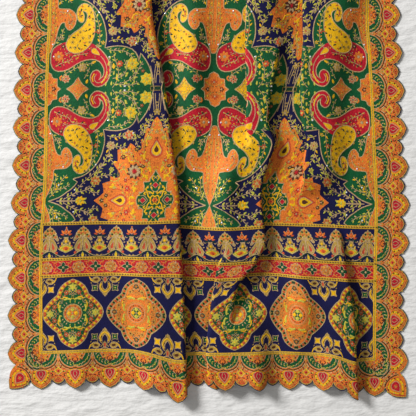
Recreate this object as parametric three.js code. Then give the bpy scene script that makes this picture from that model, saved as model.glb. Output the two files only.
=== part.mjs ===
// An embroidered dupatta laid out on a flat surface: one long cloth with scalloped borders all round, gathered
// lengthwise into knife pleats that open out towards its ends. Millimetres, +Z up, +X across the cloth, +Y along it
// from the near end to the far end. The underside rests on Z = 0.
//
// Every piece is drawn on the flat cut first, as s across and v along, and place(s, v) carries it to where the laid
// cloth has it. Pieces that are sewn together are parted by SEAM_GAP on the cut.
import * as THREE from "three";

// ---------------------------------------------------------------- the flat cut
const FIELD_WIDTH = 888;
const SIDE_BORDER = 66; // side seam to the tips of the side scallops
const END_BORDER = 72; // last cross seam to the tips of the end scallops
const MEDALLION_BAND = 150;
const RED_BAND = 33;
const BUTA_BAND = 71;
const FIELD_LENGTH = 1866;
const WALL = 1.5; // woven ground, embroidery and backing together
const SEAM_GAP = 0.3;

const CLOTH_WIDTH = FIELD_WIDTH + 2 * SIDE_BORDER;
const CLOTH_LENGTH = FIELD_LENGTH + 2 * (BUTA_BAND + RED_BAND + MEDALLION_BAND + END_BORDER);
const FIELD_LEFT = SIDE_BORDER;
const FIELD_RIGHT = SIDE_BORDER + FIELD_WIDTH;

// Scallops: a large pointed lobe and a small one take turns along every edge.
const SIDE_REPEATS = 32; // large lobes between the corners
const END_REPEATS = 13;
const NOTCH_DEPTH = 16.5; // notches inside the line of the large tips
const SMALL_TIP_DEPTH = 8.5;
const LARGE_HALF = 0.31; // half a large lobe, as a share of the repeat
const SMALL_HALF = 0.5 - LARGE_HALF;
const LOBE_STOPS = [0.5, 0.7, 1 - SMALL_HALF, 1, 1 + SMALL_HALF, 1.3]; // large tip, notch, small tip, notch
// Each corner is one pointed lobe between two large ones: columns from the side edge inwards, each as [s, v] at the
// hem, at two places between and at the seam.
const CORNER = [
  [[4, 1.5], [3, 29], [15.5, 48], [0, 72]], [[26, 1.5], [24, 28], [27, 50], [22, 72]],
  [[40, 8], [40, 32], [41, 52], [38, 72]], [[46, 15.5], [47, 36], [48, 54], [50, 72]],
  [[56, 4.5], [56, 27], [57, 50], [59, 72]]];
const HEM_SHARES = [0, 0.4, 0.7, 1]; // rows of a hem, as shares of the way in from its edge

// ---------------------------------------------------------------- how the cloth lies
// Stations of each pleat along the cloth. at: distance from the near hem. edge: where on the cut the cloth goes out
// of sight. tuck: how much cloth is hidden, 0 where the pleat has opened out. Where a pleat falls, the cloth to its
// left lies on top of the cloth to its right; otherwise the cloth to its right is on top.
const PLEATS = {
  left: { falls: true, stations: [
    { at: 0, edge: 354, tuck: 62 }, { at: 79, edge: 351, tuck: 70 }, { at: 207, edge: 345, tuck: 86 },
    { at: 300, edge: 338, tuck: 108 }, { at: 375, edge: 330, tuck: 114 }, { at: 473, edge: 315, tuck: 110 },
    { at: 600, edge: 297, tuck: 106 }, { at: 755, edge: 265, tuck: 114 }, { at: 1259, edge: 252, tuck: 122 },
    { at: 1900, edge: 284, tuck: 116 }, { at: 2518, edge: 322, tuck: 106 }] },
  middle: { falls: false, stations: [
    { at: 0, edge: 466, tuck: 118 }, { at: 79, edge: 470, tuck: 116 }, { at: 148, edge: 484, tuck: 100 },
    { at: 207, edge: 500, tuck: 70 }, { at: 260, edge: 520, tuck: 22 }, { at: 300, edge: 536, tuck: 0 },
    { at: 480, edge: 570, tuck: 0 }, { at: 533, edge: 574, tuck: 34 }, { at: 600, edge: 578, tuck: 46 },
    { at: 755, edge: 574, tuck: 26 }, { at: 860, edge: 570, tuck: 0 }] },
  centre: { falls: true, stations: [
    { at: 126, edge: 624, tuck: 0 }, { at: 168, edge: 616, tuck: 10 }, { at: 207, edge: 609, tuck: 34 },
    { at: 250, edge: 612, tuck: 72 }, { at: 296, edge: 616, tuck: 102 }, { at: 375, edge: 616, tuck: 90 },
    { at: 444, edge: 620, tuck: 86 }, { at: 510, edge: 636, tuck: 60 }, { at: 600, edge: 666, tuck: 24 },
    { at: 690, edge: 676, tuck: 0 }] },
  right: { falls: false, stations: [
    { at: 380, edge: 788, tuck: 0 }, { at: 473, edge: 780, tuck: 32 }, { at: 600, edge: 756, tuck: 56 },
    { at: 680, edge: 738, tuck: 82 }, { at: 755, edge: 720, tuck: 104 }, { at: 1259, edge: 696, tuck: 118 },
    { at: 1900, edge: 690, tuck: 118 }, { at: 2518, edge: 688, tuck: 106 }] },
  corner: { falls: true, stations: [
    { at: 0, edge: 884, tuck: 32 }, { at: 72, edge: 882, tuck: 30 }, { at: 150, edge: 880, tuck: 24 },
    { at: 222, edge: 878, tuck: 14 }, { at: 330, edge: 876, tuck: 0 }] },
};
const ROLL_RADIUS = 4.6; // of the rolled edge of a closed pleat
const LOOSE_RADIUS = 8; // of one that is about to open out
const LEAD = 100; // length over which a panel climbs to the pleat where it lies on top
// Where the two side seams lie across.
const LEFT_LINE = [
  { at: 0, x: -329 }, { at: 207, x: -329.5 }, { at: 300, x: -328.5 }, { at: 375, x: -323 }, { at: 473, x: -320 },
  { at: 600, x: -318 }, { at: 755, x: -312 }, { at: 1259, x: -304 }, { at: 1900, x: -316 }, { at: 2518, x: -326 }];
const RIGHT_LINE = [
  { at: 0, x: 328 }, { at: 207, x: 329 }, { at: 375, x: 332 }, { at: 473, x: 328 }, { at: 600, x: 322 },
  { at: 755, x: 314 }, { at: 1259, x: 326 }, { at: 1900, x: 320 }, { at: 2518, x: 330 }];
const RIGHT_EASE = 300; // width beside the right seam over which the cloth is eased to lie along its line
// Air under the cloth, in ridges that run along it. slope: greatest slope of a side, in radians. lean: how far the
// ridge moves across for each millimetre along.
const RIDGES = [
  { s: 140, at: 60, reach: 32, along: 150, slope: 0.2, lean: -0.1 },
  { s: 130, at: 520, reach: 36, along: 240, slope: 0.14, lean: 0.05 },
  { s: 466, at: 650, reach: 28, along: 120, slope: 0.56, lean: 0 },
  { s: 680, at: 10, reach: 28, along: 60, slope: 0.4, lean: 0.1 },
  { s: 546, at: 400, reach: 24, along: 60, slope: 0.5, lean: 0 },
  { s: 780, at: 180, reach: 32, along: 90, slope: 0.56, lean: 0.05 },
  { s: 150, at: 1200, reach: 30, along: 280, slope: 0.22, lean: 0 },
  { s: 500, at: 1180, reach: 36, along: 220, slope: 0.32, lean: 0 },
  { s: 580, at: 1560, reach: 32, along: 260, slope: 0.3, lean: 0.03 },
  { s: 510, at: 2080, reach: 34, along: 240, slope: 0.32, lean: 0.03 },
  { s: 160, at: 2260, reach: 30, along: 200, slope: 0.24, lean: 0 },
  { s: 580, at: 2460, reach: 26, along: 140, slope: 0.4, lean: 0 },
];
// Cloth drawn along its own length: y is how far off a place lies from where a straight cloth would have it.
const DRIFTS = [
  { s: 200, reach: 110, at: 150, fade: 220, y: 7 },
  { s: 345, reach: 52, at: 0, fade: 110, y: -25 },
  { s: 345, reach: 60, at: 330, fade: 160, y: 5 },
  { s: 540, reach: 100, at: 340, fade: 150, y: -9 },
  { s: 700, reach: 66, at: 200, fade: 110, y: 7 },
  { s: 888, reach: 36, at: 30, fade: 110, y: -15 },
  { s: 954, reach: 110, at: 200, fade: 300, y: -7 },
  { s: 1010, reach: 80, at: 0, fade: 120, y: -13 },
];
const MIDDLE = CLOTH_LENGTH / 2 - 8; // of the laid cloth, along it

// ---------------------------------------------------------------- from the cut to the laid cloth
/** The value of one column at distance v, on a smooth line through its stations. */
function reading(stations, v, key) {
  const last = stations.length - 1;
  if (v <= stations[0].at) return stations[0][key];
  if (v >= stations[last].at) return stations[last][key];
  const i = stations.findIndex((row) => row.at > v) - 1;
  const grade = (k) => {
    const [a, b] = [stations[Math.max(k - 1, 0)], stations[Math.min(k + 1, last)]];
    return (b[key] - a[key]) / (b.at - a.at);
  };
  const [a, b] = [stations[i], stations[i + 1]];
  const span = b.at - a.at;
  const t = (v - a.at) / span;
  const ease = t * t * (3 - 2 * t);
  return a[key] + (b[key] - a[key]) * ease
    + span * (grade(i) * t * (1 - t) * (1 - t) - grade(i + 1) * t * t * (1 - t));
}

/** One pleat at distance v: two rolls that turn the cloth by turn and back, with what lies under between them. */
function pleatAt({ falls, stations }, v) {
  const edge = reading(stations, v, "edge");
  const tuck = Math.max(0, reading(stations, v, "tuck"));
  const closed = Math.min(1, Math.sqrt(tuck / (2 * Math.PI * ROLL_RADIUS)));
  const radius = ROLL_RADIUS + (LOOSE_RADIUS - ROLL_RADIUS) * (1 - closed);
  const turn = Math.PI * closed;
  const under = Math.max(0, tuck / 2 - Math.PI * ROLL_RADIUS);
  const first = falls ? edge : edge + under;
  const roll = radius * turn;
  return { falls, turn, roll, under, first, second: first + roll + under, clear: under + 3 * ROLL_RADIUS,
    climb: 2 * radius * (1 - Math.cos(turn)) };
}

/** All pleats at distance v, left to right. lift is what the ground beside a pleat has to climb or come down. */
function pleatsAt(v) {
  const found = Object.values(PLEATS).map((pleat) => pleatAt(pleat, v));
  let raised = null;
  for (const pleat of found) {
    pleat.lift = pleat.climb;
    if (!pleat.falls && pleat.climb > 0) {
      raised = pleat;
    } else if (pleat.falls && raised) {
      const shared = Math.min(raised.lift, pleat.climb);
      raised.lift -= shared;
      pleat.lift -= shared;
      raised = null;
    }
  }
  return found;
}

/** Which way the cloth heads at s, as an angle above the surface. */
function heading(pleats, v, s) {
  let angle = 0;
  for (const p of pleats) {
    if (p.turn === 0) continue;
    const turned = (start) => THREE.MathUtils.clamp((s - start) / p.roll, 0, 1);
    angle += (p.falls ? -1 : 1) * p.turn * (turned(p.first) - turned(p.second));
    const start = p.falls ? p.first - p.clear - LEAD : p.second + p.roll + p.clear;
    const along = (s - start) / LEAD;
    if (along > 0 && along < 1) {
      angle += ((p.falls ? 1 : -1) * p.lift * (1 - Math.cos(2 * Math.PI * along))) / LEAD;
    }
  }
  for (const r of RIDGES) {
    const t = (s - r.s - r.lean * (v - r.at)) / r.reach;
    const fade = (v - r.at) / r.along;
    angle -= r.slope * Math.sqrt(2 * Math.E) * t * Math.exp(-t * t - fade * fade);
  }
  return angle;
}

const crossings = new Map();

/** The line of the cloth across at distance v: x and z at every millimetre of s. */
function crossing(v) {
  if (crossings.has(v)) return crossings.get(v);
  const pleats = pleatsAt(v);
  const line = { x: [0], z: [0] };
  for (let s = 0; s < CLOTH_WIDTH; s++) {
    const angle = heading(pleats, v, s + 0.5);
    line.x.push(line.x[s] + Math.cos(angle));
    line.z.push(line.z[s] + Math.sin(angle));
  }
  const shift = reading(LEFT_LINE, v, "x") - line.x[FIELD_LEFT];
  const eased = reading(RIGHT_LINE, v, "x") - line.x[FIELD_RIGHT] - shift;
  line.x = line.x.map((x, s) => x + shift + eased * THREE.MathUtils.smoothstep(s, FIELD_RIGHT - RIGHT_EASE, FIELD_RIGHT));
  line.z = line.z.map((z) => Math.max(z, 0));
  crossings.set(v, line);
  return line;
}

/** Where the laid cloth has the middle of its thickness, for s across and v along the cut. */
function place(s, v) {
  const line = crossing(v);
  const i = THREE.MathUtils.clamp(Math.floor(s), 0, CLOTH_WIDTH - 1);
  const mix = (values) => values[i] + (values[i + 1] - values[i]) * (s - i);
  const drift = DRIFTS.reduce(
    (sum, d) => sum + d.y * Math.exp(-(((s - d.s) / d.reach) ** 2) - ((v - d.at) / d.fade) ** 2), 0);
  return new THREE.Vector3(mix(line.x), v + drift - MIDDLE, mix(line.z) + WALL / 2);
}

/** place(s, v), moved off by height towards the upper side of the cloth. */
function placeAbove(s, v, height) {
  const across = place(s + 0.7, v).sub(place(s - 0.7, v));
  const along = place(s, v + 2).sub(place(s, v - 2));
  return place(s, v).addScaledVector(across.cross(along).normalize(), height);
}

// ---------------------------------------------------------------- scalloped edges
/** How far inside the line of the large tips the edge runs, at share t of a repeat. */
function scallop(t) {
  const part = t - Math.floor(t);
  const large = Math.abs(part - 0.5) / LARGE_HALF;
  if (large < 1) return NOTCH_DEPTH * (0.5 * large + 0.5 * large ** 4);
  const small = Math.min(part, 1 - part) / SMALL_HALF;
  return SMALL_TIP_DEPTH + (NOTCH_DEPTH - SMALL_TIP_DEPTH) * (0.4 * small + 0.6 * small ** 3);
}

/** Stops along an edge of the given span between two corners, as { along, inset }, large tip to large tip. */
function lobes(repeats, span) {
  const shares = Array.from({ length: repeats }, (_, i) => LOBE_STOPS.map((t) => i + t)).flat();
  return [...shares, repeats + 0.5].map((t) => ({ along: (span * (t - 0.5)) / repeats, inset: scallop(t) }));
}

/** The inset of an edge at distance along, between its stops. */
function insetAt(stops, along) {
  const next = Math.max(1, stops.findIndex((stop) => stop.along >= along - 1e-6));
  const [a, b] = [stops[next - 1], stops[next]];
  return a.inset + ((b.inset - a.inset) * (along - a.along)) / (b.along - a.along);
}

// ---------------------------------------------------------------- grids of the cut
const NEAR_PLEATS = ["left", "middle", "centre", "corner"];
const FIELD_PLEATS = ["left", "middle", "centre", "right"];
const SPACES = [5, 2, 2, 1, 1, 1, 3, 2, 2];
const ROLL_SHARES = [0, 1 / 3, 2 / 3, 1];
const LEAST_ROLL = 6;
const spread = (from, to, spaces) =>
  Array.from({ length: spaces + 1 }, (_, i) => from + ((to - from) * i) / Math.max(spaces, 1));

const SEAMS = [END_BORDER, END_BORDER + MEDALLION_BAND, END_BORDER + MEDALLION_BAND + RED_BAND,
  END_BORDER + MEDALLION_BAND + RED_BAND + BUTA_BAND];
const FAR_SEAMS = SEAMS.map((v) => CLOTH_LENGTH - v);
// Distances of the crossings along the cloth, the seams among them.
const ROWS = [
  ...spread(SEAMS[0], SEAMS[1], 9), ...spread(SEAMS[1], SEAMS[2], 2).slice(1), ...spread(SEAMS[2], SEAMS[3], 4).slice(1),
  350, 375, 400, 425, 450, 475, 500, 525, 550, 575, 600, 630, 660, 690, 720, 755, 795, 830, 860, 950, 1080, 1259, 1450,
  1650, 1850, 2030, FAR_SEAMS[3], (FAR_SEAMS[3] + FAR_SEAMS[2]) / 2, FAR_SEAMS[2],
  ...spread(FAR_SEAMS[1], FAR_SEAMS[0], 4)];

/** Where the rolls of the named pleats lie at distance v. */
function rollStops(names, v) {
  return names.map((name) => pleatAt(PLEATS[name], v)).flatMap((p) =>
    [p.first, p.second].map((start) => ROLL_SHARES.map((share) => start + share * Math.max(p.roll, LEAST_ROLL))));
}

/** A crossing from side seam to side seam, with SPACES[i] spaces between one roll and the next. */
function bandRow(names, v) {
  const groups = [[FIELD_LEFT + SEAM_GAP / 2], ...rollStops(names, v), [FIELD_RIGHT - SEAM_GAP / 2]];
  const row = groups.flatMap((group, i) => {
    if (i === groups.length - 1) return group;
    return [...group.slice(0, -1), ...spread(group[group.length - 1], groups[i + 1][0], SPACES[i]).slice(0, -1)];
  });
  for (let i = 1; i < row.length - 1; i++) row[i] = Math.max(row[i], row[i - 1] + 1);
  return row.map((s) => [s, v]);
}

/** The field or a band between two cross seams. */
const bandGrid = (from, to) =>
  ROWS.filter((v) => v >= from && v <= to).map((v) => {
    const names = v <= SEAMS[3] ? NEAR_PLEATS : FIELD_PLEATS;
    const shift = v === from ? SEAM_GAP / 2 : v === to ? -SEAM_GAP / 2 : 0;
    return bandRow(names, v).map(([s]) => [s, v + shift]);
  });

/** A place at s, v on the straight line between the two neighbours that the next piece has along their seam. */
function onSeam(neighbours, value, spot) {
  const next = Math.max(1, neighbours.findIndex((stop) => stop >= value - 1e-6));
  const [a, b] = [neighbours[next - 1], neighbours[next]];
  return [...spot(a), ...spot(b), (value - a) / (b - a)];
}

/** Both lists in one, without those of the second that come close to one of the first. */
const joined = (first, second) =>
  [...first, ...second.filter((b) => first.every((a) => Math.abs(a - b) > 2))].sort((a, b) => a - b);

/** A hem with both its corners: rows from the edge to the seam with the band that it borders. */
function hemGrid(names, far) {
  const stops = lobes(END_REPEATS, FIELD_WIDTH);
  const fromFar = (v) => (far ? CLOTH_LENGTH - v : v);
  const band = bandRow(names, fromFar(END_BORDER)).map(([s]) => s).slice(1, -1);
  const straight = joined([FIELD_LEFT, ...band, FIELD_RIGHT], stops.map((stop) => FIELD_LEFT + stop.along));
  const corner = CORNER.map((column) => column.map(([s, v]) => [CLOTH_WIDTH - s, v])).reverse();
  const columns = [
    ...CORNER,
    ...straight.map((s) => {
      const edge = insetAt(stops, s - FIELD_LEFT);
      return HEM_SHARES.map((share) => [s, edge + (END_BORDER - edge) * share]);
    }),
    ...corner];
  const neighbours = [CORNER[0][3][0], FIELD_LEFT, ...band, FIELD_RIGHT, CLOTH_WIDTH - CORNER[0][3][0]];
  const seam = fromFar(END_BORDER - SEAM_GAP / 2);
  const rows = [
    ...[0, 1, 2].map((k) => columns.map((column) => [column[k][0], fromFar(column[k][1])])),
    columns.map((column) => onSeam(neighbours, column[3][0], (s) => [s, seam]))];
  return far ? rows.reverse() : rows;
}

/** A side border between the two hems: two columns, the scalloped edge and the side seam. */
function sideGrid(right) {
  const stops = lobes(SIDE_REPEATS, CLOTH_LENGTH - 2 * END_BORDER);
  const [low, high] = [END_BORDER + SEAM_GAP / 2, CLOTH_LENGTH - END_BORDER - SEAM_GAP / 2];
  const neighbours = [low, ...ROWS.slice(1, -1), high];
  const seam = right ? FIELD_RIGHT + SEAM_GAP / 2 : FIELD_LEFT - SEAM_GAP / 2;
  return joined(neighbours, stops.slice(1, -1).map((stop) => END_BORDER + stop.along)).map((v) => {
    const inset = insetAt(stops, v - END_BORDER);
    const row = [[right ? CLOTH_WIDTH - inset : inset, v], onSeam(neighbours, v, (at) => [seam, at])];
    return right ? row.reverse() : row;
  });
}

// ---------------------------------------------------------------- solids
/** A closed wall over a grid of the cut: rows of [s, v], or of two such places and a share of the way between. */
function wall(rows) {
  const across = rows[0].length;
  const places = rows.flat();
  const points = [WALL / 2, -WALL / 2].flatMap((height) => places.map(([s, v, otherS, otherV, share]) => {
    const point = placeAbove(s, v, height);
    return share ? point.lerp(placeAbove(otherS, otherV, height), share) : point;
  }));
  const faces = [];
  const quad = (a, b, c, d) => faces.push(a, b, c, a, c, d);
  for (let i = 0; i + 1 < rows.length; i++) {
    for (let j = 0; j + 1 < across; j++) {
      const [a, b] = [i * across + j, (i + 1) * across + j];
      quad(a, a + 1, b + 1, b);
      quad(...[a, b, b + 1, a + 1].map((corner) => corner + places.length));
    }
  }
  const end = rows.length - 1;
  const rim = [
    ...spread(0, across - 1, across - 1).map((j) => [0, j]),
    ...spread(1, end, end - 1).map((i) => [i, across - 1]),
    ...spread(across - 2, 0, across - 2).map((j) => [end, j]),
    ...spread(end - 1, 1, end - 2).map((i) => [i, 0]),
  ].map(([i, j]) => i * across + j);
  rim.forEach((a, k) => {
    const b = rim[(k + 1) % rim.length];
    quad(a, a + places.length, b + places.length, b);
  });
  const geometry = new THREE.BufferGeometry();
  geometry.setAttribute("position", new THREE.Float32BufferAttribute(points.flatMap((p) => p.toArray()), 3));
  geometry.setIndex(faces);
  geometry.computeVertexNormals();
  return geometry;
}

// ---------------------------------------------------------------- the dupatta
const CLOTHS = {
  patterned: { color: "#8a4a2c" },
  navy: { color: "#20204e" },
  red: { color: "#c02c3e" },
  orange: { color: "#dc7a3a" },
};
const PIECES = [
  { name: "field", cloth: "patterned", grid: bandGrid(SEAMS[3], FAR_SEAMS[3]) },
  { name: "near_buta_band", cloth: "navy", grid: bandGrid(SEAMS[2], SEAMS[3]) },
  { name: "near_red_band", cloth: "red", grid: bandGrid(SEAMS[1], SEAMS[2]) },
  { name: "near_medallion_band", cloth: "navy", grid: bandGrid(SEAMS[0], SEAMS[1]) },
  { name: "near_border", cloth: "orange", grid: hemGrid(NEAR_PLEATS, false) },
  { name: "left_border", cloth: "orange", grid: sideGrid(false) },
  { name: "right_border", cloth: "orange", grid: sideGrid(true) },
  { name: "far_buta_band", cloth: "navy", grid: bandGrid(FAR_SEAMS[3], FAR_SEAMS[2]) },
  { name: "far_red_band", cloth: "red", grid: bandGrid(FAR_SEAMS[2], FAR_SEAMS[1]) },
  { name: "far_medallion_band", cloth: "navy", grid: bandGrid(FAR_SEAMS[1], FAR_SEAMS[0]) },
  { name: "far_border", cloth: "orange", grid: hemGrid(FIELD_PLEATS, true) },
];

const dupatta = new THREE.Group();
dupatta.name = "dupatta";
for (const { name, cloth, grid } of PIECES) {
  const material = new THREE.MeshStandardMaterial({ color: CLOTHS[cloth].color, roughness: 0.85, name: cloth });
  const mesh = new THREE.Mesh(wall(grid), material);
  mesh.name = name;
  dupatta.add(mesh);
}
export default dupatta;
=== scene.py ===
# %% [markdown]
# # An embroidered dupatta, laid out on a pale floor
#
# A dupatta is a long stole. This one is covered edge to edge with coloured embroidery: paisleys, star
# medallions and vines in the field, three bands at each end, and a scalloped border all round. It lies
# flat, gathered lengthwise into a few knife pleats.
#
# The work goes from the flat cut to the laid cloth. Every motif is drawn in millimetres on the cut, as `s`
# across and `v` along, and one function, `place`, carries any point of the cut to where the cloth has it.

# %% Loading the fixed frame
import math

import bpy
import numpy as np
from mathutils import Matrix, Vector
from mathutils.geometry import delaunay_2d_cdt


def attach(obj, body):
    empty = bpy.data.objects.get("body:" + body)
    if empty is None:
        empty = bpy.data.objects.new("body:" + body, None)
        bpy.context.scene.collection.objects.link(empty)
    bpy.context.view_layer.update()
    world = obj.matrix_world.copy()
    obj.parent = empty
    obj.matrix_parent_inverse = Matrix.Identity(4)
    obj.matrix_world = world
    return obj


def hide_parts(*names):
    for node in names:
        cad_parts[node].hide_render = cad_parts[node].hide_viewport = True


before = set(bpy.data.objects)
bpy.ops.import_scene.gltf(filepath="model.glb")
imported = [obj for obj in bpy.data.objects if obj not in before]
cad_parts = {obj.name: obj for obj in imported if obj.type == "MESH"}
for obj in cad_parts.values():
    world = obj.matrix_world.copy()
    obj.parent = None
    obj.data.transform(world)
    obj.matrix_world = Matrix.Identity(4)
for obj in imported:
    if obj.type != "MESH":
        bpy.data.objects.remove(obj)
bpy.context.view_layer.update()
MM = 0.001
print("CAD nodes:", ", ".join(sorted(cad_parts)))

# %% [markdown]
# ## The flat cut
#
# The same driving sizes as the solids. The field is mirrored about every line of a 222 mm lattice, so one
# quarter of a repeat is all that has to be drawn.

# %% Sizes of the cut
FIELD_WIDTH, FIELD_LENGTH = 888, 1866
SIDE_BORDER, END_BORDER = 66, 72
MEDALLION_BAND, RED_BAND, BUTA_BAND = 150, 33, 71
CLOTH_WIDTH = FIELD_WIDTH + 2 * SIDE_BORDER
CLOTH_LENGTH = FIELD_LENGTH + 2 * (MEDALLION_BAND + RED_BAND + BUTA_BAND + END_BORDER)
FIELD_LEFT, FIELD_RIGHT = SIDE_BORDER, SIDE_BORDER + FIELD_WIDTH
WALL = 1.5
QUARTER = 222  # side of a quarter repeat of the field
SEAM_STEPS = np.cumsum([END_BORDER, MEDALLION_BAND, RED_BAND, BUTA_BAND])
FIRST_STAR_ROW = 371
print("the cut is", CLOTH_WIDTH, "by", CLOTH_LENGTH, "mm, with seams at", SEAM_STEPS)

# %% [markdown]
# ## How the cloth lies
#
# Stations of each pleat along the cloth, in millimetres: the distance from the near hem, where on the cut
# the cloth goes out of sight, and how much of it is tucked away. A pleat that falls has its left side on
# top.

# %% Pleats, ridges and drifts
PLEATS = {
    "left": (True, [
        (0, 354, 62), (79, 351, 70), (207, 345, 86), (300, 338, 108), (375, 330, 114), (473, 315, 110),
        (600, 297, 106), (755, 265, 114), (1259, 252, 122), (1900, 284, 116), (2518, 322, 106)]),
    "middle": (False, [
        (0, 466, 118), (79, 470, 116), (148, 484, 100), (207, 500, 70), (260, 520, 22), (300, 536, 0),
        (480, 570, 0), (533, 574, 34), (600, 578, 46), (755, 574, 26), (860, 570, 0)]),
    "centre": (True, [
        (126, 624, 0), (168, 616, 10), (207, 609, 34), (250, 612, 72), (296, 616, 102), (375, 616, 90),
        (444, 620, 86), (510, 636, 60), (600, 666, 24), (690, 676, 0)]),
    "right": (False, [
        (380, 788, 0), (473, 780, 32), (600, 756, 56), (680, 738, 82), (755, 720, 104), (1259, 696, 118),
        (1900, 690, 118), (2518, 688, 106)]),
    "corner": (True, [(0, 884, 32), (72, 882, 30), (150, 880, 24), (222, 878, 14), (330, 876, 0)]),
}
ROLL_RADIUS, LOOSE_RADIUS = 4.6, 8  # of a closed pleat's rolled edge, and of one about to open out
LEAD = 100  # length over which a panel climbs to the pleat where it lies on top
LEFT_LINE = [  # where the side seams lie across: distance along, x
    (0, -329), (207, -329.5), (300, -328.5), (375, -323), (473, -320), (600, -318), (755, -312), (1259, -304),
    (1900, -316), (2518, -326)]
RIGHT_LINE = [
    (0, 328), (207, 329), (375, 332), (473, 328), (600, 322), (755, 314), (1259, 326), (1900, 320),
    (2518, 330)]
RIGHT_EASE = 300
RIDGES = [  # air under the cloth: s, distance along, reach across, reach along, greatest slope, lean
    (140, 60, 32, 150, 0.2, -0.1), (130, 520, 36, 240, 0.14, 0.05), (466, 650, 28, 120, 0.56, 0),
    (680, 10, 28, 60, 0.4, 0.1), (546, 400, 24, 60, 0.5, 0), (780, 180, 32, 90, 0.56, 0.05),
    (150, 1200, 30, 280, 0.22, 0), (500, 1180, 36, 220, 0.32, 0), (580, 1560, 32, 260, 0.3, 0.03),
    (510, 2080, 34, 240, 0.32, 0.03), (160, 2260, 30, 200, 0.24, 0), (580, 2460, 26, 140, 0.4, 0)]
DRIFTS = [  # cloth drawn along its own length: s, reach across, distance along, reach along, by how much
    (200, 110, 150, 220, 7), (345, 52, 0, 110, -25), (345, 60, 330, 160, 5), (540, 100, 340, 150, -9),
    (700, 66, 200, 110, 7), (888, 36, 30, 110, -15), (954, 110, 200, 300, -7), (1010, 80, 0, 120, -13)]
ORIGIN_SHIFT = 8  # from the middle of the cut towards the near hem
MIDDLE = CLOTH_LENGTH / 2 - ORIGIN_SHIFT


# %% Reading the tables
def reading(stations, v, column):
    """A column of the stations at the distances v, on a smooth line through them."""
    at = np.array([row[0] for row in stations], float)
    value = np.array([row[column] for row in stations], float)
    grade = np.empty_like(value)
    for k in range(len(at)):
        a, b = max(k - 1, 0), min(k + 1, len(at) - 1)
        grade[k] = (value[b] - value[a]) / (at[b] - at[a])
    i = np.clip(np.searchsorted(at, v, side="right") - 1, 0, len(at) - 2)
    span = at[i + 1] - at[i]
    t = np.clip((v - at[i]) / span, 0, 1)
    eased = value[i] + (value[i + 1] - value[i]) * t * t * (3 - 2 * t)
    return eased + span * (grade[i] * t * (1 - t) ** 2 - grade[i + 1] * t * t * (1 - t))


def pleat(falls, stations, v):
    """A pleat's two rolls at the distances v, and the lengths and the height that go with them."""
    edge, tuck = reading(stations, v, 1), np.maximum(reading(stations, v, 2), 0)
    closed = np.minimum(1, np.sqrt(tuck / (2 * math.pi * ROLL_RADIUS)))
    radius = ROLL_RADIUS + (LOOSE_RADIUS - ROLL_RADIUS) * (1 - closed)
    turn = math.pi * closed
    under = np.maximum(0, tuck / 2 - math.pi * ROLL_RADIUS)
    first, roll = (edge if falls else edge + under), radius * turn
    climb = 2 * radius * (1 - np.cos(turn))
    return {"falls": falls, "turn": turn, "roll": roll, "first": first, "second": first + roll + under,
            "clear": under + 3 * ROLL_RADIUS, "climb": climb, "lift": climb.copy()}


# %% The laid surface
GRID_STEP = 4.0  # along the cut, between the sections that are worked out
ALONG = np.arange(0, CLOTH_LENGTH + GRID_STEP, GRID_STEP)
ACROSS = np.arange(CLOTH_WIDTH + 1.0)
pleats = {name: pleat(falls, stations, ALONG) for name, (falls, stations) in PLEATS.items()}
shared = np.minimum(pleats["middle"]["climb"], pleats["centre"]["climb"])
pleats["middle"]["lift"] -= shared
pleats["centre"]["lift"] -= shared
mid = ACROSS[:-1][None, :] + 0.5
heading = np.zeros((len(ALONG), CLOTH_WIDTH))
for p in pleats.values():
    p = {key: value[:, None] if isinstance(value, np.ndarray) else value for key, value in p.items()}
    sign = -1 if p["falls"] else 1
    roll = np.maximum(p["roll"], 1e-6)
    up, down = (np.clip((mid - p[key]) / roll, 0, 1) for key in ("first", "second"))
    heading += sign * p["turn"] * (up - down)
    start = p["first"] - p["clear"] - LEAD if p["falls"] else p["second"] + p["roll"] + p["clear"]
    part = np.clip((mid - start) / LEAD, 0, 1)
    heading -= sign * p["lift"] * (1 - np.cos(2 * math.pi * part)) / LEAD
for s0, at, reach, along, slope, lean in RIDGES:
    t = (mid - s0 - lean * (ALONG[:, None] - at)) / reach
    heading -= slope * math.sqrt(2 * math.e) * t * np.exp(-t * t - ((ALONG[:, None] - at) / along) ** 2)
X = np.zeros((len(ALONG), CLOTH_WIDTH + 1))
Z = np.zeros_like(X)
X[:, 1:] = np.cumsum(np.cos(heading), axis=1)
Z[:, 1:] = np.cumsum(np.sin(heading), axis=1)
X += (reading(LEFT_LINE, ALONG, 1) - X[:, FIELD_LEFT])[:, None]
ease = np.clip((ACROSS - FIELD_RIGHT + RIGHT_EASE) / RIGHT_EASE, 0, 1)
X += (reading(RIGHT_LINE, ALONG, 1) - X[:, FIELD_RIGHT])[:, None] * (ease * ease * (3 - 2 * ease))[None, :]
Z = np.maximum(Z, 0) + WALL / 2
Y = np.repeat(ALONG[:, None], CLOTH_WIDTH + 1, axis=1) - MIDDLE
for s0, reach, at, fade, by in DRIFTS:
    Y += by * np.exp(-((ACROSS[None, :] - s0) / reach) ** 2 - ((ALONG[:, None] - at) / fade) ** 2)
LAID = np.stack([X, Y, Z], axis=2)
UPWARD = np.cross(np.gradient(LAID, axis=1), np.gradient(LAID, axis=0))
UPWARD /= np.linalg.norm(UPWARD, axis=2, keepdims=True)


# %% Reading a place on the laid cloth
def sample(grid, s, v):
    """A grid over the cut, read between its stops."""
    i = np.clip(v / GRID_STEP, 0, len(ALONG) - 1.001)
    j = np.clip(s, 0, CLOTH_WIDTH - 0.001)
    i0, j0 = i.astype(int), j.astype(int)
    fi, fj = (i - i0)[:, None], (j - j0)[:, None]
    return ((grid[i0, j0] * (1 - fj) + grid[i0, j0 + 1] * fj) * (1 - fi)
            + (grid[i0 + 1, j0] * (1 - fj) + grid[i0 + 1, j0 + 1] * fj) * fi)


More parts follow.
